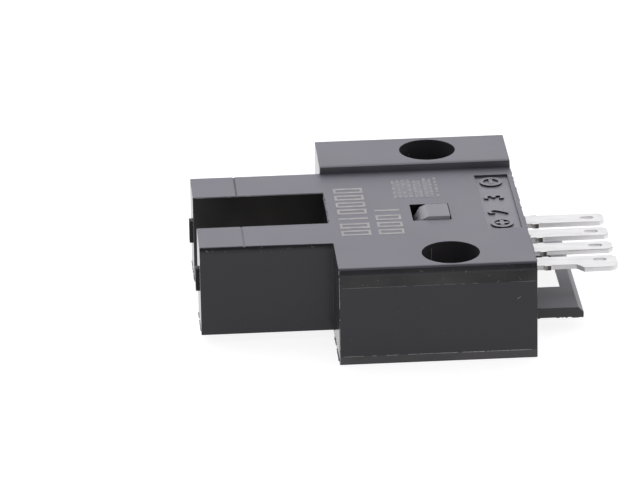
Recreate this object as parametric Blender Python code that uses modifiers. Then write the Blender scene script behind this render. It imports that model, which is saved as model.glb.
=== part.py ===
"""Slotted optical switch: a forked sensor housing with two mounting flanges.

An emitter in one arm shines across the slot at a receiver in the other arm.
The housing is one hollow moulding, open at its terminal end. A carrier with the
circuit board, the optics and four flat terminals slides in from that end and
snaps into a window in the roof. Its locking loop stays outside, under the
terminals, where a cable plug would latch.

Frame: X runs from the fork to the terminals, Y across both flanges and Z up
from the mounting face. The origin is under the middle of the whole part.
All sizes are in metres.
"""

import math

import bmesh
import bpy
from mathutils import Matrix, Vector

# Fork and slot
SLOT_WIDTH = 0.0050           # gap between the two arms
SLOT_DEPTH = 0.0080           # from the arm tips to the slot's end wall
FORK_REACH = 0.00805          # from the arm tips to the flanges
FORK_WIDTH = 0.0116           # across both arms
FORK_LIFT = 0.0005            # underside of the fork above the mounting face

# Block and flanges
BLOCK_LENGTH = 0.01187        # along X
BLOCK_WIDTH = 0.0201          # across both flanges, at the label face
WALL_DRAFT = 0.025            # front and back walls lean out by this much per unit of depth
LABEL_HEIGHT = 0.0061         # top of fork, middle and front flange
BACK_STEP = 0.0005            # the back flange stands this much higher
BACK_STEP_Y = 0.0056          # wall of that step, from the centre plane
EDGE_ROUND = 0.00005          # moulded edge radius
HOLE_RADIUS = 0.00173         # screw holes in the flanges
HOLE_SPACING = 0.01586        # between the two hole centres
HOLE_FROM_END = 0.00498       # hole centres from the terminal end

# Walls of the moulding
SIDE_WALL = 0.00065           # arms' inner and outer walls
TIP_WALL = 0.0007             # arm tips
ROOF = 0.0008                 # under the label face
FLOOR = 0.0008                # under the block's cavity
FORK_FLOOR = 0.0007           # under the arms' cavities
HOLE_WALL = 0.00065           # between a screw hole and the cavity
SLOT_END_WALL = 0.0008        # behind the slot

# Optics
AXIS_FROM_TIP = 0.0027        # optical axis behind the arm tips
SLIT_WIDTH = 0.0005
SLIT_HEIGHT = 0.0015
AXIS_MARK_WIDTH = 0.00012     # engraved line across each arm
AXIS_MARK_DEPTH = 0.00006
PACKAGE_LENGTH = 0.0027       # emitter and receiver bodies, along X
PACKAGE_POST_GAP = 0.0001     # in front of a package, to the carrier's post
PACKAGE_BACK_GAP = 0.0002     # behind it, to the arm's outer wall
PACKAGE_SEAT_GAP = 0.00015    # under it, to the carrier's arm
LENS_RADIUS = 0.00075
LENS_RISE = 0.00045           # lens dome in front of the package
LEAD_RADIUS = 0.00012
LEAD_STACK = 0.65             # share of the package's height that its leads take
LEAD_LANDING = 0.0010         # length of a lead on the board

# Window in the roof, and the hook that snaps into it
WINDOW_FROM_END = 0.00442     # near edge of the window from the terminal end
WINDOW_LENGTH = 0.00236
WINDOW_Y = -0.00135           # centre of the window and the hook
HOOK_WIDTH = 0.00188
HOOK_SIDE_GAP = 0.0004        # between the hook and each side of the window
HOOK_CATCH_GAP = 0.00008      # between the catch face and the window
HOOK_FRONT_GAP = 0.00018      # between the foot of its ramp and the window
HOOK_RAMP = 0.0008            # ramp in front of its flat top, along X and Z
HOOK_BROW = 0.0004            # upper part of that ramp, along X
HOOK_BROW_DROP = 0.00018      # the upper part is flatter and falls by this
HOOK_PROUD = 0.00015          # hook top above the label face
TONGUE_THICKNESS = 0.00055

# Recessed field for the terminal marks
FIELD_FROM_END = 0.00031
FIELD_LENGTH = 0.00207
FIELD_WIDTH = 0.0089
FIELD_DEPTH = 0.00015

# Carrier
CLEARANCE = 0.00005           # between parts that seat in each other
BASE_LENGTH = 0.0024          # block that closes the housing, along X
BASE_SET_IN = 0.00015         # its outer face inside the housing's end
PLATE_THICKNESS = 0.0005
POST_HEIGHT = 0.0027          # upright at the end of each arm, across the axis
NOSE_WIDTH = 0.0006           # nose in each tip window
NOSE_HEIGHT = 0.0014
NOSE_INSET = 0.00025          # from the arm's middle plane, towards the slot
NOSE_RISE = 0.0001            # its middle above the optical axis
NOSE_REACH = 0.0002           # in front of the tip
RIB_WIDTH = 0.0006            # skids under the plate
RIB_Y = 0.0036
RAIL_WIDTH = 0.0012           # rails under the board
PEG_RADIUS = 0.00035          # pegs that locate the board
PEG_RISE = 0.0003             # above the board
LOOP_REACH = 0.00326          # outer edge of the locking loop from the housing's end
LOOP_WIDTH = 0.0121           # outside the housing
LOOP_THICKNESS = 0.00065
LOOP_TOP = 0.0014             # upper face above the mounting face
LOOP_END_BAR = 0.0011         # bar at the loop's outer end, along X
LOOP_SIDE_BAR = 0.00335       # bars at its sides, along Y
LOOP_CHAMFER = 0.00033
TRIM_ROUND = 0.00004          # edge radius of the small mouldings

# Terminals
TERMINAL_COUNT = 4
TERMINAL_PITCH = 0.00229
TERMINAL_WIDTH = 0.0013
TERMINAL_THICKNESS = 0.0003
TERMINAL_TOP = 0.0034         # upper face above the mounting face
TERMINAL_REACH = 0.00556      # tips from the housing's end
TERMINAL_LANDING = 0.0015     # length of a terminal on the board
TIP_CHAMFER = 0.00028
SOLDER_HOLE_LENGTH = 0.00085
SOLDER_HOLE_WIDTH = 0.0004
SOLDER_HOLE_FROM_TIP = 0.0006
TIE_STUB_FROM_END = 0.00108   # remains of the strip's tie bar
TIE_STUB_LENGTH = 0.0004
TIE_STUB_REACH = 0.0001
HEAD_EXTRA = 0.00055          # the front terminal's head is wider by this
HEAD_LENGTH = 0.0025
HEAD_SLOPE = 0.0004
HEAD_CORNER = 0.0006

# Board and what is soldered to it
BOARD_THICKNESS = 0.0006
BOARD_SIDE_GAP = 0.0004       # between its sides and the cavity's walls
BOARD_END_GAP = 0.00055       # between its inner end and the slot's end wall
BOARD_CHAMFER = 0.0004
CHIP_LENGTH = 0.0010
CHIP_WIDTH = 0.0005
CHIP_HEIGHT = 0.00035
CHIP_CAP = 0.0002             # metal end cap of a chip part
CHIP_CAP_SKIN = 0.00003       # how far a cap stands out from the chip's waist
CHIP_FROM_EDGE = 0.0003       # from the board's inner end to the row of chips
CHIP_GAP = 0.0003             # between neighbours on the board
CAPACITOR_HEIGHT = 0.0005
DIODE_HEIGHT = 0.0006
LAMP_LENGTH = 0.0016
LAMP_WIDTH = 0.0008
LAMP_HEIGHT = 0.0005
LAMP_BASE = 0.0002            # thickness of the lamp's base
LAMP_CAP = 0.0003             # bare end of the base beside the clear block
LAMP_INSET = 0.00007          # the block stands this far inside the base's sides
TRANSISTOR_LENGTH = 0.0020
TRANSISTOR_WIDTH = 0.00125
TRANSISTOR_HEIGHT = 0.0009
TRANSISTOR_STAND_OFF = 0.0001  # under its body
TRANSISTOR_GAP = 0.0006       # between its middle leg and the board's peg
LEG_SPACING = 0.0013          # between its two front legs
LEG_WIDTH = 0.0003
LEG_SHEET = 0.00012           # thickness of a leg
LEG_REACH = 0.0004            # beyond the body

# Places worked out from the sizes
OVERALL = NOSE_REACH + FORK_REACH + BLOCK_LENGTH + TERMINAL_REACH
X_TIP = NOSE_REACH - OVERALL / 2
X_FLANGE = X_TIP + FORK_REACH
X_SLOT_END = X_TIP + SLOT_DEPTH
X_END = X_FLANGE + BLOCK_LENGTH
X_AXIS = X_TIP + AXIS_FROM_TIP
X_CAVITY = X_SLOT_END + SLOT_END_WALL
X_BASE_OUT = X_END - BASE_SET_IN
X_BASE_IN = X_BASE_OUT - BASE_LENGTH
ARM_Y = (SLOT_WIDTH + FORK_WIDTH) / 4
NOSE_Y = ARM_Y - NOSE_INSET
ARM_CAVITY_WIDTH = (FORK_WIDTH - SLOT_WIDTH) / 2 - 2 * SIDE_WALL
BLOCK_CAVITY_WIDTH = HOLE_SPACING - 2 * (HOLE_RADIUS + HOLE_WALL)
BOARD_WIDTH = BLOCK_CAVITY_WIDTH - 2 * BOARD_SIDE_GAP
Z_ROOF = LABEL_HEIGHT - ROOF
Z_ARM_FLOOR = FORK_LIFT + FORK_FLOOR
Z_AXIS = (FORK_LIFT + LABEL_HEIGHT) / 2
Z_NOSE = Z_AXIS + NOSE_RISE
Z_PLATE = Z_ARM_FLOOR + CLEARANCE
Z_PLATE_TOP = Z_PLATE + PLATE_THICKNESS
Z_TERMINAL = TERMINAL_TOP - TERMINAL_THICKNESS
Z_BOARD_TOP = Z_TERMINAL - CLEARANCE
Z_BOARD = Z_BOARD_TOP - BOARD_THICKNESS
X_BOARD_OUT = X_BASE_IN - CLEARANCE
X_BOARD_IN = X_CAVITY + BOARD_END_GAP
BOARD_MIDDLE = (X_BOARD_IN + X_BOARD_OUT) / 2
RAIL_Y = BOARD_WIDTH / 2 - RAIL_WIDTH / 2
X_POST = X_TIP + TIP_WALL + CLEARANCE
POST_THICKNESS = X_AXIS - PACKAGE_LENGTH / 2 - PACKAGE_POST_GAP - X_POST
PACKAGE_DEPTH = ARM_CAVITY_WIDTH - CLEARANCE - LENS_RISE - PACKAGE_BACK_GAP
PACKAGE_HEIGHT = 2 * (Z_AXIS - Z_PLATE_TOP - PACKAGE_SEAT_GAP)
HOOK_TOP_LENGTH = WINDOW_LENGTH - HOOK_CATCH_GAP - HOOK_RAMP - HOOK_FRONT_GAP

# Fineness of the shapes
CUT = 0.001                   # how far a cutter runs past the face it opens
ROUND_SIDES = 48              # of a full circle in plan
LENS_SIDES = 24
BEND_STEPS = 10               # in a lead's double bend
SHARP_ANGLE = math.radians(30)
FLAT_ANGLE = math.radians(0.5)
WELD = 0.0000005
SNAP_DIGITS = 8               # corners are rounded to this many decimals of a metre

# Colour, roughness and metallic value of each finish
FINISHES = {
    "black_moulding": ((0.022, 0.021, 0.024), 0.55, 0.0),
    "carrier_moulding": ((0.028, 0.026, 0.030), 0.45, 0.0),
    "tinned_metal": ((0.78, 0.77, 0.76), 0.30, 1.0),
    "board_laminate": ((0.05, 0.19, 0.08), 0.50, 0.0),
    "optic_resin": ((0.035, 0.020, 0.030), 0.15, 0.0),
    "clear_resin": ((0.75, 0.22, 0.18), 0.20, 0.0),
    "chip_ceramic": ((0.42, 0.38, 0.33), 0.50, 0.0),
    "chip_black": ((0.03, 0.03, 0.03), 0.50, 0.0),
}


def empty_scene():
    """Remove what the scene holds and return the two collections of the model."""
    for item in list(bpy.data.objects):
        bpy.data.objects.remove(item, do_unlink=True)
    parts = bpy.data.collections.new("slotted_optical_switch")
    cutters = bpy.data.collections.new("cutters")
    bpy.context.scene.collection.children.link(parts)
    bpy.context.scene.collection.children.link(cutters)
    return parts, cutters


PARTS, CUTTERS = empty_scene()


def make_finish(name):
    """A Principled material of the named finish."""
    colour, roughness, metallic = FINISHES[name]
    material = bpy.data.materials.new(name)
    material.use_nodes = True
    shader = material.node_tree.nodes["Principled BSDF"]
    shader.inputs["Base Color"].default_value = (*colour, 1.0)
    shader.inputs["Roughness"].default_value = roughness
    shader.inputs["Metallic"].default_value = metallic
    return material


def tidy_mesh(mesh):
    """Weld a mesh, join its flat faces and point its faces outwards."""
    shape = bmesh.new()
    shape.from_mesh(mesh)
    bmesh.ops.remove_doubles(shape, verts=shape.verts, dist=WELD)
    bmesh.ops.dissolve_limit(
        shape, angle_limit=FLAT_ANGLE, verts=shape.verts, edges=shape.edges
    )
    bmesh.ops.recalc_face_normals(shape, faces=shape.faces)
    shape.to_mesh(mesh)
    shape.free()


def new_solid(name, mesh):
    """An object for the mesh, kept with the cutters until it is named as a part."""
    for vertex in mesh.vertices:
        vertex.co = [round(value, SNAP_DIGITS) for value in vertex.co]
    solid = bpy.data.objects.new(name, mesh)
    CUTTERS.objects.link(solid)
    solid.hide_render = True
    solid.display_type = "WIRE"
    return solid


def box(name, low, high):
    """A box between two corners."""
    size = [b - a for a, b in zip(low, high)]
    middle = [(a + b) / 2 for a, b in zip(low, high)]
    shape = bmesh.new()
    place = Matrix.Translation(middle) @ Matrix.Diagonal((*size, 1.0))
    bmesh.ops.create_cube(shape, size=1.0, matrix=place)
    mesh = bpy.data.meshes.new(name)
    shape.to_mesh(mesh)
    shape.free()
    return new_solid(name, mesh)


def flared_box(name, low, high, axis, side, growth):
    """A box whose face at one end of an axis is larger all round by growth."""
    solid = box(name, low, high)
    middle = [(a + b) / 2 for a, b in zip(low, high)]
    for vertex in solid.data.vertices:
        if (vertex.co[axis] - middle[axis]) * side > 0:
            for other in {0, 1, 2} - {axis}:
                vertex.co[other] += math.copysign(growth, vertex.co[other] - middle[other])
    return solid


def drum(name, x, y, radius, z_low, z_high):
    """An upright cylinder with a smooth side."""
    shape = bmesh.new()
    bmesh.ops.create_cone(
        shape, cap_ends=True, segments=ROUND_SIDES,
        radius1=radius, radius2=radius, depth=z_high - z_low,
        matrix=Matrix.Translation((x, y, (z_low + z_high) / 2)),
    )
    for face in shape.faces:
        face.smooth = len(face.verts) == 4
    mesh = bpy.data.meshes.new(name)
    shape.to_mesh(mesh)
    shape.free()
    return new_solid(name, mesh)


def dome(name, centre, radius, side):
    """The half of a ball that looks towards the centre plane."""
    shape = bmesh.new()
    bmesh.ops.create_uvsphere(
        shape, u_segments=LENS_SIDES, v_segments=LENS_SIDES // 2, radius=radius,
        matrix=Matrix.Translation(centre),
    )
    for face in shape.faces:
        face.smooth = True
    everything = shape.verts[:] + shape.edges[:] + shape.faces[:]
    section = bmesh.ops.bisect_plane(
        shape, geom=everything, dist=WELD, plane_co=centre,
        plane_no=(0.0, side, 0.0), clear_outer=True,
    )
    rim = [item for item in section["geom_cut"] if isinstance(item, bmesh.types.BMEdge)]
    bmesh.ops.edgeloop_fill(shape, edges=rim)
    bmesh.ops.recalc_face_normals(shape, faces=shape.faces)
    mesh = bpy.data.meshes.new(name)
    shape.to_mesh(mesh)
    shape.free()
    return new_solid(name, mesh)


def shade_round(solid):
    """Shade a solid smooth apart from its sharp edges."""
    solid.data.shade_smooth()
    solid.data.set_sharp_from_angle(angle=SHARP_ANGLE)


def curve_to_solid(name, curve, place):
    """Turn a filled curve into a closed mesh object at the same place."""
    guide = bpy.data.objects.new(name + "_guide", curve)
    bpy.context.scene.collection.objects.link(guide)
    guide.matrix_world = place
    bpy.context.view_layer.update()
    evaluated = guide.evaluated_get(bpy.context.evaluated_depsgraph_get())
    mesh = bpy.data.meshes.new_from_object(evaluated)
    mesh.name = name
    mesh.transform(guide.matrix_world)
    bpy.data.objects.remove(guide, do_unlink=True)
    tidy_mesh(mesh)
    return new_solid(name, mesh)


def prism(name, loops, depth, place):
    """Extrude flat loops of points by depth along the place's own Z."""
    curve = bpy.data.curves.new(name, "CURVE")
    curve.dimensions = "2D"
    curve.fill_mode = "BOTH"
    curve.extrude = depth / 2
    for loop in loops:
        spline = curve.splines.new("POLY")
        spline.points.add(len(loop) - 1)
        for point, (x, y) in zip(spline.points, loop):
            point.co = (x, y, 0.0, 1.0)
        spline.use_cyclic_u = True
    return curve_to_solid(name, curve, place @ Matrix.Translation((0, 0, depth / 2)))


def plan_prism(name, loops, z_low, z_high):
    """A prism whose loops are drawn in plan, seen from above."""
    return prism(name, loops, z_high - z_low, Matrix.Translation((0, 0, z_low)))


def side_prism(name, loop, y_middle, width):
    """A prism whose loop is drawn in X and Z, centred across Y."""
    upright = Matrix.Rotation(math.radians(90), 4, "X")
    place = Matrix.Translation((0, y_middle + width / 2, 0)) @ upright
    return prism(name, [loop], width, place)


def wire(name, points, radius):
    """A round wire along a line of points."""
    curve = bpy.data.curves.new(name, "CURVE")
    curve.dimensions = "3D"
    curve.bevel_depth = radius
    curve.bevel_resolution = 2
    curve.use_fill_caps = True
    spline = curve.splines.new("POLY")
    spline.points.add(len(points) - 1)
    for point, position in zip(spline.points, points):
        point.co = (*position, 1.0)
    return curve_to_solid(name, curve, Matrix.Identity(4))


def boolean(target, tool, operation):
    """Cut the tool from the target, or join it on."""
    modifier = target.modifiers.new(f"{operation.lower()} {tool.name}", "BOOLEAN")
    modifier.operation = operation
    modifier.solver = "EXACT"
    modifier.object = tool


def cut(target, *tools):
    """Cut each tool from the target."""
    for tool in tools:
        boolean(target, tool, "DIFFERENCE")


def join(target, *tools):
    """Make the target and each tool one body."""
    for tool in tools:
        boolean(target, tool, "UNION")


def merge_flats(target):
    """Join faces that lie in one plane."""
    modifier = target.modifiers.new("merge flats", "DECIMATE")
    modifier.decimate_type = "DISSOLVE"
    modifier.angle_limit = FLAT_ANGLE


def round_edges(target, radius):
    """Round every sharp edge, as the mould does."""
    modifier = target.modifiers.new("rounded edges", "BEVEL")
    modifier.width = radius
    modifier.segments = 2
    modifier.limit_method = "ANGLE"
    modifier.angle_limit = SHARP_ANGLE


def finish_part(solid, name, finish):
    """Name a solid as a part, give it its material and move it to the parts."""
    solid.name = name
    solid.data.name = name
    solid.data.materials.clear()
    solid.data.materials.append(make_finish(finish))
    solid.hide_render = False
    solid.display_type = "TEXTURED"
    CUTTERS.objects.unlink(solid)
    PARTS.objects.link(solid)
    return solid


def both_sides(y):
    """The same distance on the front side and on the back side."""
    return (("front", -y), ("back", y))


def across_prism(name, profile, x_low, x_high):
    """A prism whose loop is drawn in Y and Z, from one X to another."""
    place = Matrix(((0, 0, 1, x_low), (1, 0, 0, 0), (0, 1, 0, 0), (0, 0, 0, 1)))
    return prism(name, [profile], x_high - x_low, place)


def block_profile():
    """The block and its raised back flange, seen from the terminal end."""
    top = BLOCK_WIDTH / 2
    foot = top + LABEL_HEIGHT * WALL_DRAFT
    high = LABEL_HEIGHT + BACK_STEP
    return [
        (-foot, 0.0),
        (foot, 0.0),
        (top - BACK_STEP * WALL_DRAFT, high),
        (BACK_STEP_Y, high),
        (BACK_STEP_Y, LABEL_HEIGHT),
        (-top, LABEL_HEIGHT),
    ]


def fork_profile():
    """The fork without its slot, seen from the arm tips."""
    top = FORK_WIDTH / 2
    foot = top + (LABEL_HEIGHT - FORK_LIFT) * WALL_DRAFT
    return [(-foot, FORK_LIFT), (foot, FORK_LIFT), (top, LABEL_HEIGHT), (-top, LABEL_HEIGHT)]


def housing_form():
    """The outside of the housing, with leaning walls, rounded edges and no slot yet."""
    form = across_prism("housing_form", block_profile(), X_FLANGE, X_END)
    join(form, across_prism("fork", fork_profile(), X_TIP, X_FLANGE + CUT))
    merge_flats(form)
    round_edges(form, EDGE_ROUND)
    return form


def slot_cutters():
    """The slot between the arms, with a small chamfer at its rims and its mouth."""
    half, rim = SLOT_WIDTH / 2, EDGE_ROUND
    low, high = -CUT, LABEL_HEIGHT + CUT
    x_open = X_TIP - CUT
    return [
        box("slot", (x_open, -half, low), (X_SLOT_END, half, high)),
        flared_box(
            "slot_mouth", (X_TIP - rim, -half, low), (X_TIP + rim, half, high),
            axis=0, side=-1, growth=2 * rim,
        ),
        flared_box(
            "slot_top_rim",
            (x_open, -half, LABEL_HEIGHT - rim), (X_SLOT_END, half, LABEL_HEIGHT + rim),
            axis=2, side=1, growth=2 * rim,
        ),
        flared_box(
            "slot_bottom_rim",
            (x_open, -half, FORK_LIFT - rim), (X_SLOT_END, half, FORK_LIFT + rim),
            axis=2, side=-1, growth=2 * rim,
        ),
    ]


def arm_cutters(side, y):
    """What is cut from one arm: cavity, tip window, slit and the axis line."""
    half = ARM_CAVITY_WIDTH / 2
    window = NOSE_WIDTH / 2 + CLEARANCE
    window_y = math.copysign(NOSE_Y, y)
    inner = math.copysign(SLOT_WIDTH / 2, y)
    cavity_side = math.copysign(SLOT_WIDTH / 2 + SIDE_WALL, y)
    slit_low, slit_high = sorted((
        inner - math.copysign(CUT, y), cavity_side + math.copysign(CUT / 4, y)
    ))
    arm_low, arm_high = sorted((
        inner - math.copysign(CUT, y), math.copysign(FORK_WIDTH / 2 + CUT, y)
    ))
    return [
        box(
            f"{side}_arm_cavity",
            (X_TIP + TIP_WALL, y - half, Z_ARM_FLOOR),
            (X_CAVITY + CUT, y + half, Z_ROOF),
        ),
        box(
            f"{side}_tip_window",
            (X_TIP - CUT, window_y - window, Z_NOSE - NOSE_HEIGHT / 2 - CLEARANCE),
            (X_TIP + TIP_WALL + CUT / 2, window_y + window,
             Z_NOSE + NOSE_HEIGHT / 2 + CLEARANCE),
        ),
        box(
            f"{side}_slit",
            (X_AXIS - SLIT_WIDTH / 2, slit_low, Z_AXIS - SLIT_HEIGHT / 2),
            (X_AXIS + SLIT_WIDTH / 2, slit_high, Z_AXIS + SLIT_HEIGHT / 2),
        ),
        box(
            f"{side}_axis_mark",
            (X_AXIS - AXIS_MARK_WIDTH / 2, arm_low, LABEL_HEIGHT - AXIS_MARK_DEPTH),
            (X_AXIS + AXIS_MARK_WIDTH / 2, arm_high, LABEL_HEIGHT + CUT),
        ),
    ]


def make_housing():
    """The one-piece moulding, hollow and open at the terminal end."""
    housing = housing_form()
    cut(housing, *slot_cutters())
    window_half = HOOK_WIDTH / 2 + HOOK_SIDE_GAP
    cut(housing, box(
        "block_cavity",
        (X_CAVITY, -BLOCK_CAVITY_WIDTH / 2, FLOOR),
        (X_END + CUT, BLOCK_CAVITY_WIDTH / 2, Z_ROOF),
    ))
    for side, y in both_sides(ARM_Y):
        cut(housing, *arm_cutters(side, y))
    for side, y in both_sides(HOLE_SPACING / 2):
        cut(housing, drum(
            f"{side}_screw_hole", X_END - HOLE_FROM_END, y, HOLE_RADIUS,
            -CUT, LABEL_HEIGHT + BACK_STEP + CUT,
        ))
    cut(
        housing,
        box(
            "hook_window",
            (X_END - WINDOW_FROM_END - WINDOW_LENGTH, WINDOW_Y - window_half, Z_ROOF - CUT / 2),
            (X_END - WINDOW_FROM_END, WINDOW_Y + window_half, LABEL_HEIGHT + CUT),
        ),
        box(
            "mark_field",
            (X_END - FIELD_FROM_END - FIELD_LENGTH, -FIELD_WIDTH / 2, LABEL_HEIGHT - FIELD_DEPTH),
            (X_END - FIELD_FROM_END, FIELD_WIDTH / 2, LABEL_HEIGHT + CUT),
        ),
    )
    finish_part(housing, "housing", "black_moulding")


def carrier_outline():
    """The carrier's plate in plan: wide in the block, with an arm into each fork arm."""
    wide = BLOCK_CAVITY_WIDTH / 2 - CLEARANCE
    outer = ARM_Y + ARM_CAVITY_WIDTH / 2 - CLEARANCE
    inner = ARM_Y - ARM_CAVITY_WIDTH / 2 + CLEARANCE
    x_wide = X_CAVITY + CLEARANCE
    half = [
        (x_wide, inner),
        (X_POST, inner),
        (X_POST, outer),
        (x_wide, outer),
        (x_wide, wide),
        (X_BASE_OUT, wide),
    ]
    return half + [(x, -y) for x, y in reversed(half)]


def hook_profile():
    """Springy tongue and hook, seen from the front side."""
    top = LABEL_HEIGHT + HOOK_PROUD
    beam_top = Z_ROOF - CLEARANCE
    catch = X_END - WINDOW_FROM_END - HOOK_CATCH_GAP
    ramp_top = catch - HOOK_TOP_LENGTH
    return [
        (X_BASE_IN + CUT, beam_top - TONGUE_THICKNESS),
        (X_BASE_IN + CUT, beam_top),
        (catch, beam_top),
        (catch, top),
        (ramp_top, top),
        (ramp_top - HOOK_BROW, top - HOOK_BROW_DROP),
        (ramp_top - HOOK_RAMP, top - HOOK_RAMP),
        (ramp_top - HOOK_RAMP, beam_top - TONGUE_THICKNESS),
    ]


def loop_profile():
    """Side view of the locking loop, with its chamfered outer edge."""
    low = LOOP_TOP - LOOP_THICKNESS
    inner, outer = X_END + CLEARANCE, X_END + LOOP_REACH
    return [
        (inner, low),
        (outer, low),
        (outer, LOOP_TOP - LOOP_CHAMFER),
        (outer - LOOP_CHAMFER, LOOP_TOP),
        (inner, LOOP_TOP),
    ]


def make_locking_loop():
    """The frame that stands out under the terminals, and its neck in the housing."""
    loop = side_prism("locking_loop", loop_profile(), 0.0, LOOP_WIDTH)
    round_edges(loop, TRIM_ROUND)
    neck = BLOCK_CAVITY_WIDTH / 2 - CLEARANCE - 2 * TRIM_ROUND
    join(loop, box(
        "loop_neck",
        (X_BASE_OUT - CUT, -neck, FLOOR + 2 * CLEARANCE),
        (X_END + 3 * CLEARANCE, neck, LOOP_TOP - CLEARANCE),
    ))
    opening = LOOP_WIDTH / 2 - LOOP_SIDE_BAR
    cut(loop, box(
        "loop_opening",
        (X_BASE_OUT, -opening, 0.0),
        (X_END + LOOP_REACH - LOOP_END_BAR, opening, LOOP_TOP + CUT),
    ))
    return loop


def make_carrier_base():
    """The block that closes the housing, with a slot for each terminal."""
    half = BLOCK_CAVITY_WIDTH / 2 - CLEARANCE
    base = box(
        "carrier_base",
        (X_BASE_IN, -half, FLOOR + CLEARANCE),
        (X_BASE_OUT, half, Z_ROOF - CLEARANCE),
    )
    round_edges(base, TRIM_ROUND)
    return base


def make_carrier():
    """One moulding that carries the board, the optics and the terminals."""
    carrier = plan_prism("carrier_plate", [carrier_outline()], Z_PLATE, Z_PLATE_TOP)
    join(carrier, make_carrier_base(), make_locking_loop())
    join(carrier, side_prism("snap_hook", hook_profile(), WINDOW_Y, HOOK_WIDTH))
    for side, y in both_sides(ARM_Y):
        half = ARM_CAVITY_WIDTH / 2 - CLEARANCE
        join(carrier, box(
            f"{side}_post",
            (X_POST, y - half, Z_PLATE),
            (X_POST + POST_THICKNESS, y + half, Z_AXIS + POST_HEIGHT / 2),
        ))
    for side, y in both_sides(NOSE_Y):
        join(carrier, box(
            f"{side}_nose",
            (X_TIP - NOSE_REACH, y - NOSE_WIDTH / 2, Z_NOSE - NOSE_HEIGHT / 2),
            (X_POST + POST_THICKNESS / 2, y + NOSE_WIDTH / 2, Z_NOSE + NOSE_HEIGHT / 2),
        ))
    for side, y in both_sides(RAIL_Y):
        join(carrier, box(
            f"{side}_rail",
            (X_BOARD_IN, y - RAIL_WIDTH / 2, Z_PLATE + PLATE_THICKNESS / 2),
            (X_BASE_IN + CUT, y + RAIL_WIDTH / 2, Z_BOARD - CLEARANCE),
        ))
        join(carrier, drum(
            f"{side}_peg", BOARD_MIDDLE, y, PEG_RADIUS, Z_PLATE_TOP, Z_BOARD_TOP + PEG_RISE,
        ))
    for side, y in both_sides(RIB_Y):
        join(carrier, box(
            f"{side}_skid",
            (X_CAVITY + RIB_WIDTH, y - RIB_WIDTH / 2, FLOOR + CLEARANCE),
            (X_BASE_IN + CUT, y + RIB_WIDTH / 2, Z_PLATE + PLATE_THICKNESS / 2),
        ))
    for number in range(TERMINAL_COUNT):
        y = terminal_y(number)
        half = TERMINAL_WIDTH / 2 + CLEARANCE
        cut(carrier, box(
            f"terminal_slot_{number + 1}",
            (X_BASE_IN - CUT, y - half, Z_TERMINAL - CLEARANCE),
            (X_BASE_OUT + CUT, y + half, TERMINAL_TOP + CLEARANCE),
        ))
    finish_part(carrier, "carrier", "carrier_moulding")


def terminal_y(number):
    """Centre of a terminal across the part, counted from the back."""
    return TERMINAL_PITCH * ((TERMINAL_COUNT - 1) / 2 - number)


def arc(x, y, radius, start, sweep):
    """Points along part of a circle in plan. The angles are in degrees."""
    steps = ROUND_SIDES * sweep // 720
    points = []
    for step in range(steps + 1):
        angle = math.radians(start + sweep * step / steps)
        points.append((x + radius * math.cos(angle), y + radius * math.sin(angle)))
    return points


def solder_hole(y):
    """A slot with round ends near a terminal's tip."""
    radius = SOLDER_HOLE_WIDTH / 2
    x_far = X_END + TERMINAL_REACH - SOLDER_HOLE_FROM_TIP - radius
    x_near = x_far - SOLDER_HOLE_LENGTH + SOLDER_HOLE_WIDTH
    return arc(x_far, y, radius, -90, 180) + arc(x_near, y, radius, 90, 180)


def terminal_outline(y, wide_head):
    """A terminal in plan, from its landing on the board to its tip."""
    half = TERMINAL_WIDTH / 2
    x_in = X_BASE_IN - TERMINAL_LANDING
    x_tip = X_END + TERMINAL_REACH
    stub_near = X_END + TIE_STUB_FROM_END
    stub_far = stub_near + TIE_STUB_LENGTH
    back = [
        (x_in, y + half),
        (stub_near, y + half),
        (stub_near, y + half + TIE_STUB_REACH),
        (stub_far, y + half + TIE_STUB_REACH),
        (stub_far, y + half),
        (x_tip - TIP_CHAMFER, y + half),
        (x_tip, y + half - TIP_CHAMFER),
    ]
    front = [(x, 2 * y - y_back) for x, y_back in back]
    if wide_head:
        head_y = y - half - HEAD_EXTRA
        x_head = x_tip - HEAD_LENGTH
        front[5:] = [(x_head, y - half), (x_head + HEAD_SLOPE, head_y)]
        front += arc(x_tip - HEAD_CORNER, head_y + HEAD_CORNER, HEAD_CORNER, -90, 90)
    return back + front[::-1]


def make_terminals():
    """Four tinned strips, the front one with a wider head."""
    for number in range(TERMINAL_COUNT):
        y = terminal_y(number)
        in_front = number == TERMINAL_COUNT - 1
        loops = [terminal_outline(y, wide_head=in_front), solder_hole(y)]
        strip = plan_prism(f"terminal_{number + 1}", loops, Z_TERMINAL, TERMINAL_TOP)
        shade_round(strip)
        finish_part(strip, f"terminal_{number + 1}", "tinned_metal")


def make_board():
    """The circuit board, located on the carrier's two pegs."""
    half, bevel = BOARD_WIDTH / 2, BOARD_CHAMFER
    outline = [
        (X_BOARD_OUT, half),
        (X_BOARD_IN + bevel, half),
        (X_BOARD_IN, half - bevel),
        (X_BOARD_IN, bevel - half),
        (X_BOARD_IN + bevel, -half),
        (X_BOARD_OUT, -half),
    ]
    board = plan_prism("circuit_board", [outline], Z_BOARD, Z_BOARD_TOP)
    for side, y in both_sides(RAIL_Y):
        cut(board, drum(
            f"{side}_peg_hole", BOARD_MIDDLE, y, PEG_RADIUS + CLEARANCE,
            Z_BOARD - CUT, Z_BOARD_TOP + CUT,
        ))
    finish_part(board, "circuit_board", "board_laminate")


def package_y(side):
    """Front and back of a package, with its lens just behind the slit wall."""
    near = SLOT_WIDTH / 2 + SIDE_WALL + CLEARANCE + LENS_RISE
    return side * near, side * (near + PACKAGE_DEPTH)


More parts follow.
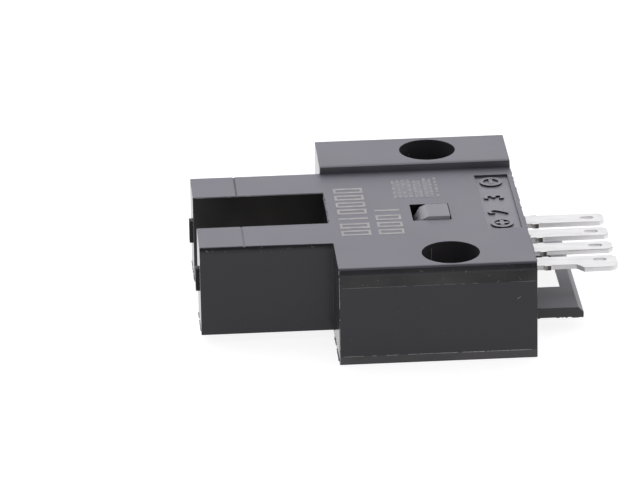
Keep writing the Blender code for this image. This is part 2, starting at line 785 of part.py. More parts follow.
def make_package(name, side):
    """A moulded package with a domed lens that looks across the slot."""
    face, rear = package_y(side)
    low_y, high_y = sorted((face, rear))
    body = box(
        name,
        (X_AXIS - PACKAGE_LENGTH / 2, low_y, Z_AXIS - PACKAGE_HEIGHT / 2),
        (X_AXIS + PACKAGE_LENGTH / 2, high_y, Z_AXIS + PACKAGE_HEIGHT / 2),
    )
    round_edges(body, EDGE_ROUND)
    centre = (X_AXIS, face + side * (LENS_RADIUS - LENS_RISE), Z_AXIS)
    join(body, dome(name + "_lens", centre, LENS_RADIUS, side))
    finish_part(body, name, "optic_resin")


def ease(share):
    """A smooth rise from 0 to 1."""
    return share * share * (3 - 2 * share)


def lead_points(side, offset, lane):
    """A lead from its package to its lane on the board, with a smooth double bend."""
    face, rear = package_y(side)
    start = Vector((X_AXIS + PACKAGE_LENGTH / 2 + CLEARANCE, (face + rear) / 2, Z_AXIS + offset))
    z_board = Z_BOARD_TOP + CLEARANCE + LEAD_RADIUS
    x_bend = (start.x + X_SLOT_END) / 2
    x_down = X_BOARD_IN - 2 * LEAD_RADIUS
    points = [start]
    for step in range(BEND_STEPS + 1):
        share = step / BEND_STEPS
        points.append(Vector((
            x_bend + (x_down - x_bend) * share,
            start.y + (side * lane - start.y) * ease(share),
            start.z + (z_board - start.z) * ease(share),
        )))
    points.append(Vector((X_BOARD_IN + LEAD_LANDING, side * lane, z_board)))
    return points


def make_leads(name, side, count):
    """The leads of one package, spread over the width that the arm and the block share."""
    edge = LEAD_RADIUS + 2 * CLEARANCE
    inner = SLOT_WIDTH / 2 + SIDE_WALL + edge
    outer = min(ARM_Y + ARM_CAVITY_WIDTH / 2, BLOCK_CAVITY_WIDTH / 2) - edge
    stack = PACKAGE_HEIGHT * LEAD_STACK
    for number in range(count):
        share = number / (count - 1)
        points = lead_points(side, (0.5 - share) * stack, inner + share * (outer - inner))
        lead = wire(f"{name}_{number + 1}", points, LEAD_RADIUS)
        shade_round(lead)
        finish_part(lead, f"{name}_{number + 1}", "tinned_metal")


def make_chip(name, x, y, finish, height=CHIP_HEIGHT):
    """A chip part with a metal cap round each end."""
    z = Z_BOARD_TOP + CLEARANCE
    half_x, half_y = CHIP_LENGTH / 2, CHIP_WIDTH / 2
    chip = box(name, (x - half_x, y - half_y, z), (x + half_x, y + half_y, z + height))
    cut(chip, box(
        name + "_waist_top",
        (x - half_x + CHIP_CAP, y - half_y - CUT, z + height - CHIP_CAP_SKIN),
        (x + half_x - CHIP_CAP, y + half_y + CUT, z + height + CUT),
    ))
    for side, y_side in (("front", y - half_y), ("back", y + half_y)):
        cut(chip, box(
            f"{name}_waist_{side}",
            (x - half_x + CHIP_CAP, y_side - CHIP_CAP_SKIN, z - CUT),
            (x + half_x - CHIP_CAP, y_side + CHIP_CAP_SKIN, z + height + CUT),
        ))
    finish_part(chip, name, finish)


def make_indicator(x, y):
    """A surface-mounted lamp under the roof window, with a clear block on its base."""
    z = Z_BOARD_TOP + CLEARANCE
    half_x, half_y = LAMP_LENGTH / 2, LAMP_WIDTH / 2
    lamp = box(
        "indicator_led", (x - half_x, y - half_y, z), (x + half_x, y + half_y, z + LAMP_BASE)
    )
    block_x, block_y = half_x - LAMP_CAP, half_y - LAMP_INSET
    join(lamp, box(
        "indicator_block",
        (x - block_x, y - block_y, z + LAMP_BASE / 2),
        (x + block_x, y + block_y, z + LAMP_HEIGHT),
    ))
    finish_part(lamp, "indicator_led", "clear_resin")


def make_transistor(x, y):
    """The output transistor: a moulded body on three bent legs."""
    z = Z_BOARD_TOP + CLEARANCE
    half_y = TRANSISTOR_WIDTH / 2
    body = box(
        "output_transistor",
        (x - TRANSISTOR_LENGTH / 2, y - half_y, z + TRANSISTOR_STAND_OFF),
        (x + TRANSISTOR_LENGTH / 2, y + half_y, z + TRANSISTOR_HEIGHT),
    )
    round_edges(body, EDGE_ROUND)
    knee = z + TRANSISTOR_HEIGHT / 2
    foot = half_y + LEG_REACH
    profile = [
        (half_y / 2, knee),
        (half_y + LEG_SHEET, knee),
        (half_y + 2 * LEG_SHEET, z),
        (foot, z),
        (foot, z + LEG_SHEET),
        (half_y + 3 * LEG_SHEET, z + LEG_SHEET),
        (half_y + 2 * LEG_SHEET, knee + LEG_SHEET),
        (half_y / 2, knee + LEG_SHEET),
    ]
    legs = ((x - LEG_SPACING / 2, -1), (x + LEG_SPACING / 2, -1), (x, 1))
    for number, (x_leg, side) in enumerate(legs):
        place = Matrix((
            (0, 0, 1, x_leg - LEG_WIDTH / 2),
            (side, 0, 0, y),
            (0, 1, 0, 0),
            (0, 0, 0, 1),
        ))
        join(body, prism(f"transistor_leg_{number + 1}", [profile], LEG_WIDTH, place))
    finish_part(body, "output_transistor", "chip_black")


def make_components():
    """What is soldered to the board beside the optics and the terminals."""
    make_indicator(X_END - WINDOW_FROM_END - WINDOW_LENGTH, WINDOW_Y)
    x_row = X_BOARD_IN + CHIP_FROM_EDGE + CHIP_LENGTH / 2
    pitch = CHIP_WIDTH + CHIP_GAP
    y_beside_lamp = WINDOW_Y - LAMP_WIDTH / 2 - CHIP_GAP - CHIP_WIDTH / 2
    make_chip("indicator_resistor", x_row, y_beside_lamp, "chip_black")
    make_chip("supply_capacitor", x_row, 0.0, "chip_ceramic", CAPACITOR_HEIGHT)
    make_chip("emitter_resistor", x_row, pitch, "chip_black")
    make_chip("zener_diode", x_row, 2 * pitch, "chip_black", DIODE_HEIGHT)
    x_transistor = x_row + (CHIP_LENGTH + TRANSISTOR_LENGTH) / 2 + CHIP_GAP
    reach = TRANSISTOR_WIDTH / 2 + LEG_REACH
    make_transistor(x_transistor, RAIL_Y - PEG_RADIUS - TRANSISTOR_GAP - reach)


make_housing()
make_carrier()
make_terminals()
make_board()
make_package("emitter", -1)
make_package("receiver", 1)
make_leads("emitter_lead", -1, 2)
make_leads("receiver_lead", 1, 3)
make_components()
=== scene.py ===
# %% [markdown]
# # A slotted optical switch
# A black forked sensor housing, two screw flanges, four tinned terminals and a
# plug locking loop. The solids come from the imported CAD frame. This script
# dresses them: it shapes what the mould leaves on the plastic, cuts and marks
# the surfaces, gives every piece its finish, and sets up the light and camera.

# %% Load the measured frame
import math
import random

import bmesh
import bpy
from mathutils import Matrix, Vector


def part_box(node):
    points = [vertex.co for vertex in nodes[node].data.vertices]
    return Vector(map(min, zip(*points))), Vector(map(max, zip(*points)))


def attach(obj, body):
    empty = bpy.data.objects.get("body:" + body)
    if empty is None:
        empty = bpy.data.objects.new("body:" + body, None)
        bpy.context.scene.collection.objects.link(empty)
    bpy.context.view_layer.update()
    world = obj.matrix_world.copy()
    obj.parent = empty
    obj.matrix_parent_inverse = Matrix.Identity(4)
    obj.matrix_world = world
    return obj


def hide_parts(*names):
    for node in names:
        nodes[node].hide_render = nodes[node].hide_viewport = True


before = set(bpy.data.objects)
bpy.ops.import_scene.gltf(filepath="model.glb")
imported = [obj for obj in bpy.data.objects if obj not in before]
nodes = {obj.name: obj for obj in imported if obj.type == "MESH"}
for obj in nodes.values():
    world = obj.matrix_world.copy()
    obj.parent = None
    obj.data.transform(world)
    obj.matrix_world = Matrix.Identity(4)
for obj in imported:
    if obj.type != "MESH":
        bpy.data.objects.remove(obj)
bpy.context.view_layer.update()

MM = 0.001
TOUCH = 0.01 * MM             # reach of a test for points that should be at a place
UPRIGHT = 0.3                 # a face is upright while its normal's Z is below this
LEVEL = 0.9                   # and level when its normal's Z is above this


def in_mm(*values):
    """Lengths in millimetres, rounded for printing."""
    return [round(value / MM, 2) for value in values]


# %% [markdown]
# ## The camera
# The photograph was taken from the front and a little above, from far away, so
# parallel edges stay almost parallel. A long lens does the same. The angles and
# the distance come from fitting corners of the object, and the camera is turned
# in three steps: around the object, down towards it, and a slight roll.

# %% Place the camera
CAMERA_YAW = 3.75             # the three angles are in degrees
CAMERA_ELEVATION = 21.97
CAMERA_ROLL = -0.89
CAMERA_OFFSET = Vector((0.69, 3.74, 325.2)) * MM
FORK_CENTRE = Vector((-5.75, 0.0, 0.0)) * MM
CAMERA_LENS = 297.56
CAMERA_SENSOR = 36.0

turn = (
    Matrix.Rotation(math.radians(-CAMERA_YAW), 3, "Z")
    @ Matrix.Rotation(math.radians(90 - CAMERA_ELEVATION), 3, "X")
    @ Matrix.Rotation(math.radians(CAMERA_ROLL), 3, "Z")
)
camera_data = bpy.data.cameras.new("camera")
camera_data.lens = CAMERA_LENS
camera_data.sensor_width = CAMERA_SENSOR
camera_data.clip_start = 1 * MM
camera = bpy.data.objects.new("camera", camera_data)
bpy.context.scene.collection.objects.link(camera)
camera.matrix_world = Matrix.Translation(turn @ CAMERA_OFFSET + FORK_CENTRE) @ turn.to_4x4()
bpy.context.scene.camera = camera
print("camera at mm:", in_mm(*camera.matrix_world.translation))

# %% [markdown]
# ## Working by selection
# Operators act on what is selected, as they do by hand. A few helpers pick one
# object, step in and out of edit mode, and select vertices, edges or faces by a
# test on their place or direction.

# %% Helpers for picking and selecting
def pick(piece=None):
    """Make one object the only selected and the active one, or select nothing."""
    bpy.ops.object.select_all(action="DESELECT")
    if piece:
        piece.select_set(True)
        bpy.context.view_layer.objects.active = piece


def start_edit(piece):
    """Step into edit mode with all faces selected."""
    pick(piece)
    bpy.ops.object.mode_set(mode="EDIT")
    bpy.ops.mesh.select_mode(type="FACE")
    bpy.ops.mesh.select_all(action="SELECT")


def end_edit():
    """Step back to object mode."""
    bpy.ops.object.mode_set(mode="OBJECT")


def choose(piece, kind, test):
    """In edit mode, select what passes the test and return how many there are."""
    bpy.ops.mesh.select_mode(type=kind)
    bpy.ops.mesh.select_all(action="DESELECT")
    shape = bmesh.from_edit_mesh(piece.data)
    items = {"VERT": shape.verts, "EDGE": shape.edges, "FACE": shape.faces}[kind]
    found = [item for item in items if test(item)]
    for item in found:
        item.select_set(True)
    shape.select_flush_mode()
    bmesh.update_edit_mesh(piece.data)
    return len(found)


def count_open_edges(piece):
    """How many edges of a piece don't join exactly two faces."""
    shape = bmesh.new()
    shape.from_mesh(piece.data)
    count = sum(not edge.is_manifold for edge in shape.edges)
    shape.free()
    return count


# %% Helpers for shaping
SMOOTH_ANGLE = math.radians(35)
SHARP_EDGE = math.radians(50)
NORMAL_WEIGHT = 60            # how strongly large faces pull the shading


def apply_place():
    """Apply the place, turn and scale of what is selected."""
    bpy.ops.object.transform_apply(location=True, rotation=True, scale=True)


def add_cube(location, size, rotation=(0, 0, 0)):
    """A box of the given size at a place."""
    pick()
    bpy.ops.mesh.primitive_cube_add(size=1.0, location=location, rotation=rotation, scale=size)
    apply_place()
    return bpy.context.object


def join(parts, name):
    """Join pieces into one and name it."""
    pick(parts[0])
    for part in parts:
        part.select_set(True)
    bpy.ops.object.join()
    parts[0].name = parts[0].data.name = name
    return parts[0]


def pull_up(height):
    """In edit mode, pull all faces up into closed shapes, and step out."""
    bpy.ops.mesh.select_all(action="SELECT")
    bpy.ops.mesh.extrude_region_move(TRANSFORM_OT_translate={"value": (0, 0, height)})
    bpy.ops.mesh.select_all(action="SELECT")
    bpy.ops.mesh.normals_make_consistent(inside=False)
    end_edit()


def round_edges(piece, width):
    """Round a piece's sharp edges and apply its place."""
    rounding = piece.modifiers.new("rounded edges", "BEVEL")
    rounding.width = width
    rounding.segments = 2
    rounding.limit_method = "ANGLE"
    rounding.angle_limit = SHARP_EDGE
    pick(piece)
    bpy.ops.object.modifier_apply(modifier=rounding.name)
    apply_place()


def settle_normals(piece):
    """Smooth shading over round parts, with flat faces kept flat."""
    pick(piece)
    bpy.ops.object.shade_smooth_by_angle(angle=SMOOTH_ANGLE)
    weigh = piece.modifiers.new("weighted normals", "WEIGHTED_NORMAL")
    weigh.keep_sharp = True
    weigh.weight = NORMAL_WEIGHT
    bpy.ops.object.modifier_apply(modifier=weigh.name)


# %% Helpers for finishes
def dress(piece, *materials):
    """Give a piece its materials, the first one for all its faces."""
    piece.data.materials.clear()
    for material in materials:
        piece.data.materials.append(material)


def finish_faces(piece, finish_of):
    """Give each face the finish that a test names for it, and count them."""
    counts = {}
    for face in piece.data.polygons:
        finish = finish_of(face)
        if finish:
            face.material_index = piece.data.materials.find(finish.name)
            counts[finish.name] = counts.get(finish.name, 0) + 1
    return counts


# %% [markdown]
# A CAD solid arrives as loose triangles. To go on shaping it, a copy is welded,
# its flat faces are joined into single faces, and its imported normals are
# cleared. The CAD solid itself isn't touched.

# %% Helper: a welded copy of a CAD solid
WELD = 0.0004 * MM
FLAT = math.radians(0.3)


def welded_copy(node, name):
    """A clean editable copy of a CAD node."""
    piece = bpy.data.objects.new(name, nodes[node].data.copy())
    piece.data.name = name
    bpy.context.scene.collection.objects.link(piece)
    pick(piece)
    bpy.ops.mesh.customdata_custom_splitnormals_clear()
    start_edit(piece)
    bpy.ops.mesh.remove_doubles(threshold=WELD)
    bpy.ops.mesh.dissolve_limited(angle_limit=FLAT)
    end_edit()
    print(name, "has", len(piece.data.polygons), "faces after welding")
    return piece


# %% [markdown]
# ## Node groups for the finishes
# An effect that several materials share is a node group: the fine grain that a
# mould leaves, and the specks and hairline scratches of handling. Both read
# Object coordinates, so the pattern keeps its real size on every piece.

# %% Helpers for node trees
def link(tree, source, target):
    """Join two sockets."""
    tree.links.new(source, target)


def feed(tree, value, socket):
    """Put a plain number or colour on a socket, or link another one to it."""
    if isinstance(value, (int, float)):
        socket.default_value = value
    elif isinstance(value, tuple):
        socket.default_value = (*value, 1.0)
    else:
        link(tree, value, socket)


def new_group(name, inputs, outputs):
    """An empty node group with number inputs and outputs."""
    group = bpy.data.node_groups.new(name, "ShaderNodeTree")
    new_socket = group.interface.new_socket
    for label, value in inputs.items():
        socket = new_socket(label, in_out="INPUT", socket_type="NodeSocketFloat")
        socket.default_value = value
    for label in outputs:
        new_socket(label, in_out="OUTPUT", socket_type="NodeSocketFloat")
    return group, group.nodes.new("NodeGroupInput"), group.nodes.new("NodeGroupOutput")


def add(tree, kind, **settings):
    """A node with its settings: attributes by name, sockets by name in a dict."""
    node = tree.nodes.new(kind)
    sockets = settings.pop("sockets", {})
    for key, value in settings.items():
        setattr(node, key, value)
    for key, value in sockets.items():
        node.inputs[key].default_value = value
    return node


def own_place(tree):
    """The Object coordinates."""
    return add(tree, "ShaderNodeTexCoord").outputs["Object"]


def along(tree, vector, axis):
    """One of the three numbers of a place or direction."""
    split = add(tree, "ShaderNodeSeparateXYZ")
    link(tree, vector, split.inputs["Vector"])
    return split.outputs[axis]


def maths(tree, operation, first, second):
    """A maths node with links or plain numbers as its two inputs."""
    node = add(tree, "ShaderNodeMath", operation=operation)
    for socket, value in zip(node.inputs, (first, second)):
        feed(tree, value, socket)
    return node.outputs[0]


def spread(tree, value, low, high, to_low=0.0, to_high=1.0):
    """Stretch a value from one range to another, clamped."""
    node = add(tree, "ShaderNodeMapRange", sockets={
        "From Min": low, "From Max": high, "To Min": to_low, "To Max": to_high,
    })
    link(tree, value, node.inputs["Value"])
    return node.outputs["Result"]


def noise(tree, place, scale, **sockets):
    """A noise texture's value at a place, with a plain or linked scale."""
    node = add(tree, "ShaderNodeTexNoise", sockets=sockets)
    link(tree, place, node.inputs["Vector"])
    feed(tree, scale, node.inputs["Scale"])
    return node.outputs["Fac"]


def stretched(tree, place, **sockets):
    """A place turned and stretched, for streaks."""
    node = add(tree, "ShaderNodeMapping", sockets=sockets)
    link(tree, place, node.inputs["Vector"])
    return node.outputs["Vector"]


def mix_colours(tree, mask, first, second):
    """Mix two colours, plain or linked, by a mask."""
    node = add(tree, "ShaderNodeMix", data_type="RGBA")
    for label, value in (("Factor", mask), ("A", first), ("B", second)):
        feed(tree, value, node.inputs[label])
    return node.outputs["Result"]


# %% Node group: moulded grain
GRAIN_SCALE = 14000.0
CLOUD_SCALE = 260.0


def make_grain_group():
    """Fine grain and wide cloudy patches."""
    group, start, end = new_group(
        "moulded_grain", {"Grain Scale": GRAIN_SCALE, "Cloud Scale": CLOUD_SCALE},
        ["Height", "Clouds"],
    )
    place = own_place(group)
    fine = noise(group, place, start.outputs["Grain Scale"], Detail=3.0, Roughness=0.6)
    wide = noise(group, place, start.outputs["Cloud Scale"], Detail=2.0, Roughness=0.5)
    link(group, fine, end.inputs["Height"])
    link(group, spread(group, wide, 0.35, 0.65), end.inputs["Clouds"])
    return group


# %% Node group: specks and scratches
def make_wear_group():
    """Pale dust specks, and hairline scratches in two directions."""
    group, start, end = new_group(
        "handling_wear",
        {"Speck Scale": 5200.0, "Speck Amount": 0.0, "Scratch Scale": 900.0},
        ["Specks", "Scratches"],
    )
    place = own_place(group)
    dots = noise(group, place, start.outputs["Speck Scale"], Detail=4.0, Distortion=1.2)
    raised = maths(group, "ADD", dots, start.outputs["Speck Amount"])
    link(group, spread(group, raised, 0.74, 0.8), end.inputs["Specks"])
    lines = stretched(group, place, Rotation=(0.5, 0.3, 0.7), Scale=(0.05, 1.0, 1.0))
    hair = noise(group, lines, start.outputs["Scratch Scale"], Detail=2.0, Distortion=0.4)
    link(group, spread(group, hair, 0.69, 0.73), end.inputs["Scratches"])
    return group


GRAIN = make_grain_group()
WEAR = make_wear_group()
print("node groups:", GRAIN.name, WEAR.name)

# %% [markdown]
# ## The finishes
# The mould is polished where it makes the upright faces and sand-blasted where
# it makes the flat ones. So the walls are smooth and nearly black, and mirror
# the pale floor a little. The top faces are textured, and the light that their
# fine grain scatters is painted into their colour: a painted sheen makes the
# faces that look up or down mid grey. One material holds both skins, mixed by
# which way a face looks. Grain goes into the normal, dust and clouds into the colour.

# %% Helper: a material with a Principled shader
def new_material(name, roughness, metallic=0.0, ior=1.5):
    """A material, its tree and its shader, with plain values on the shader."""
    material = bpy.data.materials.new(name)
    material.use_nodes = True
    tree = material.node_tree
    shader = tree.nodes["Principled BSDF"]
    shader.inputs["Roughness"].default_value = roughness
    shader.inputs["Metallic"].default_value = metallic
    shader.inputs["IOR"].default_value = ior
    return material, tree, shader


def use_group(tree, group, **values):
    """Place a node group with its own values, and return its outputs."""
    sockets = {key.replace("_", " "): value for key, value in values.items()}
    return add(tree, "ShaderNodeGroup", node_tree=group, sockets=sockets).outputs.values()


def surface(tree, shader, colour, height, strength, depth):
    """Feed a colour into the shader, and a height into its normal."""
    link(tree, colour, shader.inputs["Base Color"])
    node = add(tree, "ShaderNodeBump", sockets={"Strength": strength, "Distance": depth})
    link(tree, height, node.inputs["Height"])
    link(tree, node.outputs["Normal"], shader.inputs["Normal"])


# %% Helper: which faces are textured
def textured_faces(tree):
    """A mask of the faces that look up or down, where the mould is textured."""
    geometry = add(tree, "ShaderNodeNewGeometry")
    up = along(tree, geometry.outputs["True Normal"], "Z")
    return spread(tree, maths(tree, "ABSOLUTE", up, 0.0), 0.35, 0.8)


# %% Helper: moulded plastic
def moulded_plastic(
    name, deep, warm, textured, dust, polished, roughness=0.46,
    grain=GRAIN_SCALE, clouds=CLOUD_SCALE, strength=0.25, ior=1.45, specks=-0.01
):
    """Moulded plastic, polished on upright faces and textured on flat ones."""
    material, tree, shader = new_material(name, roughness, ior=ior)
    fine, wide = use_group(tree, GRAIN, Grain_Scale=grain, Cloud_Scale=clouds)
    dots, scratches = use_group(tree, WEAR, Speck_Amount=specks)
    facing = textured_faces(tree)
    tone = mix_colours(tree, wide, deep, warm)
    # the flat faces' paler tone is a painted sheen, the grey of light scattered by their grain
    matt = mix_colours(tree, wide, tuple(0.92 * v for v in textured), textured)
    tone = mix_colours(tree, facing, tone, matt)
    scratch = mix_colours(
        tree, facing, tuple(2 * v for v in warm), tuple(1.18 * v for v in textured)
    )
    tone = mix_colours(tree, scratches, tone, scratch)
    tone = mix_colours(tree, dots, tone, dust)
    uneven = spread(tree, wide, 0.0, 1.0, -0.02, 0.03)
    dull = maths(tree, "ADD", uneven, maths(tree, "MULTIPLY", dots, 0.3))
    base = spread(tree, facing, 0.0, 1.0, polished, roughness)
    link(tree, maths(tree, "ADD", dull, base), shader.inputs["Roughness"])
    relief = spread(tree, facing, 0.0, 1.0, 0.15, 1.0)
    height = maths(tree, "MULTIPLY", fine, relief)
    surface(tree, shader, tone, height, strength, 0.01 * MM)
    return material


# %% Plastic finishes
# Each has two tones for its upright faces, the tone of its flat faces with their
# painted sheen, its dust's tone, and the roughness of its upright faces.
# tone of the textured top faces, with the sheen of their grain painted in
TOP_SKIN_AND_SHEEN = (0.135, 0.133, 0.148)
BAND_TOP = (0.05, 0.049, 0.055)
BAND_DUST = (0.34, 0.33, 0.31)
WALL_DUST = (0.28, 0.27, 0.26)
FLASH_DUST = (0.6, 0.59, 0.58)
HOOK_DUST = (0.5, 0.49, 0.48)
BAND_WEAR = {"grain": 9000.0, "strength": 0.35, "ior": 1.4}
FLASH_WEAR = {"roughness": 0.55, "grain": 30000.0, "strength": 0.5}

CASE = moulded_plastic(
    "housing_moulding", (0.012, 0.0108, 0.0165), (0.0155, 0.0132, 0.018), TOP_SKIN_AND_SHEEN,
    (0.14, 0.135, 0.135), 0.17, ior=1.44,
)
# dull rough band under the fork's top edge; on the axis mark's groove its darker tones are painted
# shade
DULL_BAND_AND_GROOVE_SHADE = moulded_plastic(
    "dull_band_and_groove_shade", (0.008, 0.0075, 0.01), (0.016, 0.0145, 0.016), BAND_TOP, BAND_DUST,
    0.2, specks=0.08, **BAND_WEAR,
)
DULL_SHOULDER = moulded_plastic(
    "dull_shoulder", (0.018, 0.0178, 0.021), (0.03, 0.0285, 0.031), BAND_TOP, BAND_DUST,
    0.2, specks=0.06, **BAND_WEAR,
)
MOTTLED_BAND = moulded_plastic(
    "mottled_band", (0.006, 0.006, 0.007), (0.038, 0.037, 0.037), TOP_SKIN_AND_SHEEN,
    (0.26, 0.25, 0.24), 0.28, grain=9000.0, strength=0.45, ior=1.38, specks=0.05,
)
# paler than the housing, with dust: painted light of the floor on the lip, and in the screw holes
LIP_AND_HOLE_PAINTED_LIGHT = moulded_plastic(
    "lip_and_hole_painted_light", (0.034, 0.033, 0.036), (0.056, 0.052, 0.055), TOP_SKIN_AND_SHEEN, WALL_DUST,
    0.34, grain=9000.0, strength=0.35, specks=0.03,
)
# the field's flat faces are painted paler than the top face: painted light in the shaded field
FIELD_PAINTED_LIGHT = moulded_plastic(
    "field_painted_light", (0.0135, 0.013, 0.0155), (0.0175, 0.0155, 0.017),
    (0.165, 0.163, 0.178), (0.24, 0.235, 0.235), 0.2, roughness=0.4,
)
# painted paler than the housing: painted light on the slot's shaded walls
SLOT_PAINTED_LIGHT = moulded_plastic(
    "slot_painted_light", (0.02, 0.0185, 0.018), (0.032, 0.03, 0.028), TOP_SKIN_AND_SHEEN,
    (0.2, 0.195, 0.19), 0.3,
)
# painted far paler than the housing: painted light on the shaded step and the field's low walls
STEP_PAINTED_LIGHT = moulded_plastic(
    "step_painted_light", (0.085, 0.083, 0.09), (0.115, 0.112, 0.119), TOP_SKIN_AND_SHEEN, WALL_DUST, 0.34
)
CARRIER = moulded_plastic(
    "carrier_moulding", (0.018, 0.0175, 0.02), (0.026, 0.023, 0.022),
    (0.147, 0.145, 0.156), (0.24, 0.22, 0.21), 0.2, roughness=0.4, grain=11000.0,
)
# scrapes streak the ramp; its pale tone is painted light in the window's shade
SCRAPED_RAMP_PAINTED_LIGHT = moulded_plastic(
    "scraped_ramp_painted_light", (0.035, 0.034, 0.036), (0.42, 0.41, 0.42), (0.22, 0.218, 0.23),
    HOOK_DUST, 0.4, roughness=0.42, clouds=4200.0,
)
# the dark tops are painted shade of the deep windows
NOSE_PAINTED_SHADE = moulded_plastic(
    "nose_painted_shade", (0.038, 0.037, 0.04), (0.052, 0.05, 0.051), (0.03, 0.029, 0.031),
    (0.1, 0.1, 0.1), 0.2, roughness=0.3, ior=1.12,
)
# the pale upright tone is painted light on the hook's shaded front side
PALE_HOOK_PAINTED_LIGHT = moulded_plastic(
    "pale_hook_painted_light", (0.58, 0.575, 0.6), (0.74, 0.735, 0.76), (0.178, 0.176, 0.188),
    HOOK_DUST, 0.45, roughness=0.42,
)
# pale scuffed flash; the same pale tone is a painted highlight on the front corner and a painted
# glint at the field's corner
FLASH_AND_HIGHLIGHT = moulded_plastic(
    "scuffed_flash_and_highlight", (0.17, 0.167, 0.17), (0.42, 0.41, 0.41), (0.3, 0.3, 0.3),
    FLASH_DUST, 0.55, **FLASH_WEAR,
)
DULL_FLASH = moulded_plastic(
    "dull_flash", (0.07, 0.069, 0.07), (0.19, 0.187, 0.187), (0.2, 0.2, 0.2),
    FLASH_DUST, 0.55, clouds=900.0, **FLASH_WEAR,
)
CASE_FINISHES = (
    CASE, DULL_BAND_AND_GROOVE_SHADE, LIP_AND_HOLE_PAINTED_LIGHT, MOTTLED_BAND, FIELD_PAINTED_LIGHT, SLOT_PAINTED_LIGHT, STEP_PAINTED_LIGHT,
    DULL_SHOULDER,
)
CARRIER_FINISHES = (CARRIER, PALE_HOOK_PAINTED_LIGHT, SCRAPED_RAMP_PAINTED_LIGHT, NOSE_PAINTED_SHADE)
print("housing finishes:", *[finish.name for finish in CASE_FINISHES])
print("other plastics:", *[f.name for f in (*CARRIER_FINISHES, FLASH_AND_HIGHLIGHT, DULL_FLASH)])

# %% [markdown]
# The terminals are punched from tinned strip. Tin is a pale soft metal with a
# faint rolled streak along the strip. Its punched sides are less shiny and painted
# near white: painted light on the sides that face away from the light.
# Where the punch cut through the plating, as at the stubs of the tie bar, bare
# copper alloy shows, dark. A painted highlight lies at one end and fades into it.

# %% Metal finishes
def rolled_metal(name, light, dark, roughness, metallic=1.0, fade=None):
    """Metal with streaks along X and uneven gloss, or fading from light to dark along X."""
    material, tree, shader = new_material(name, roughness, metallic=metallic)
    place = own_place(tree)
    lines = noise(tree, stretched(tree, place, Scale=(0.12, 1.0, 1.0)), 4000.0, Detail=4.0)
    _, wide = use_group(tree, GRAIN, Grain_Scale=20000.0, Cloud_Scale=900.0)
    mask = maths(tree, "MULTIPLY", lines, wide)
    if fade:
        mask = spread(tree, along(tree, place, "X"), *fade)
    uneven = spread(tree, lines, 0.3, 0.7, roughness - 0.06, roughness + 0.08)
    link(tree, uneven, shader.inputs["Roughness"])
    tone = mix_colours(tree, mask, light, dark)
    surface(tree, shader, tone, lines, 0.2, 0.006 * MM)
    return material


# along X the stub faces fade from a painted highlight into dark copper
STUB_HIGHLIGHT_FADE = (8.4 * MM, 8.6 * MM)
TIN = rolled_metal("tinned_terminal", (0.455, 0.457, 0.43), (0.405, 0.403, 0.375), 0.34)
# near white, less metallic: painted light on the terminals' shaded punched sides
PUNCHED_TIN_PAINTED_LIGHT = rolled_metal("punched_tin_painted_light", (0.92, 0.91, 0.9), (0.82, 0.8, 0.78), 0.5, metallic=0.25)
LEAD_TIN = rolled_metal("tinned_lead", (0.8, 0.79, 0.78), (0.6, 0.58, 0.56), 0.3)
STUB_COPPER_AND_HIGHLIGHT = rolled_metal(
    "cut_copper_and_highlight", (0.62, 0.6, 0.57), (0.085, 0.08, 0.074), 0.5, metallic=0.5,
    fade=STUB_HIGHLIGHT_FADE,
)
print("metal finishes:", *[f.name for f in (TIN, PUNCHED_TIN_PAINTED_LIGHT, LEAD_TIN, STUB_COPPER_AND_HIGHLIGHT)])

# %% [markdown]
# The marking on the top face is burnt in by a laser: the plastic foams up a few
# hundredths of a millimetre and turns pale. It is matt, uneven and never quite
# white.

# %% Finish of the laser marking
def laser_mark(name, pale, thin):
    """Pale foamed plastic with a ragged, uneven tone."""
    material, tree, shader = new_material(name, 0.65)
    fine, wide = use_group(tree, GRAIN, Grain_Scale=22000.0, Cloud_Scale=2400.0)
    mask = maths(tree, "MULTIPLY", spread(tree, fine, 0.35, 0.65), wide)
    tone = mix_colours(tree, mask, pale, thin)
    surface(tree, shader, tone, fine, 0.4, 0.008 * MM)
    return material


PRINT = laser_mark("laser_print", (0.4, 0.39, 0.362), (0.25, 0.244, 0.232))
FAINT_PRINT = laser_mark("faint_print", (0.31, 0.307, 0.302), (0.24, 0.238, 0.238))
PLATE_PRINT = laser_mark("plate_print", (0.235, 0.233, 0.24), (0.205, 0.203, 0.214))
print("laser finishes:", PRINT.name, FAINT_PRINT.name, PLATE_PRINT.name)

# %% [markdown]
# ## The housing
# The real housing is one injection moulding. Its edges are rounded, and its front
# and back walls lean out a little towards the foot so that it comes out of the
# mould. The CAD solid has these. What it lacks is what the mould's parts leave.
# Under the top face is a dull band, wide on the fork and narrow on the block,
# where a mottled one follows it down to one parting line. Below the other line the
# lip is painted paler: painted light from the bright floor it faces. A copy is cut
# along these lines, and its bands get their finish.

# %% Measure the housing from the frame
case_low, case_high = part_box("housing")
LABEL_Z = 6.1 * MM            # top of the fork, the middle and the front flange
DRAFT = 0.025                 # the walls lean out by this share of the depth
BLOCK_HALF = case_high.y - LABEL_Z * DRAFT
FORK_HALF = 5.8 * MM          # both halves are measured at the top face
FLANGE_X = -4.59 * MM
UPPER_PARTING = 4.9 * MM
LOWER_PARTING = 0.53 * MM
FORK_BAND = 5.72 * MM
BLOCK_BAND = 5.6 * MM
NEAR = 0.09 * MM              # reach of the rounded edges from an outer wall
print("housing and half the block in mm:", in_mm(*case_low, *case_high, BLOCK_HALF))

# %% Tests for the outer walls
def is_upright(face):
    """True for a face that looks sideways."""
    return abs(face.normal.z) < UPRIGHT


def wall_y(half, z):
    """How far a leaning wall is from the centre plane at a height."""
    return half + (LABEL_Z - z) * DRAFT


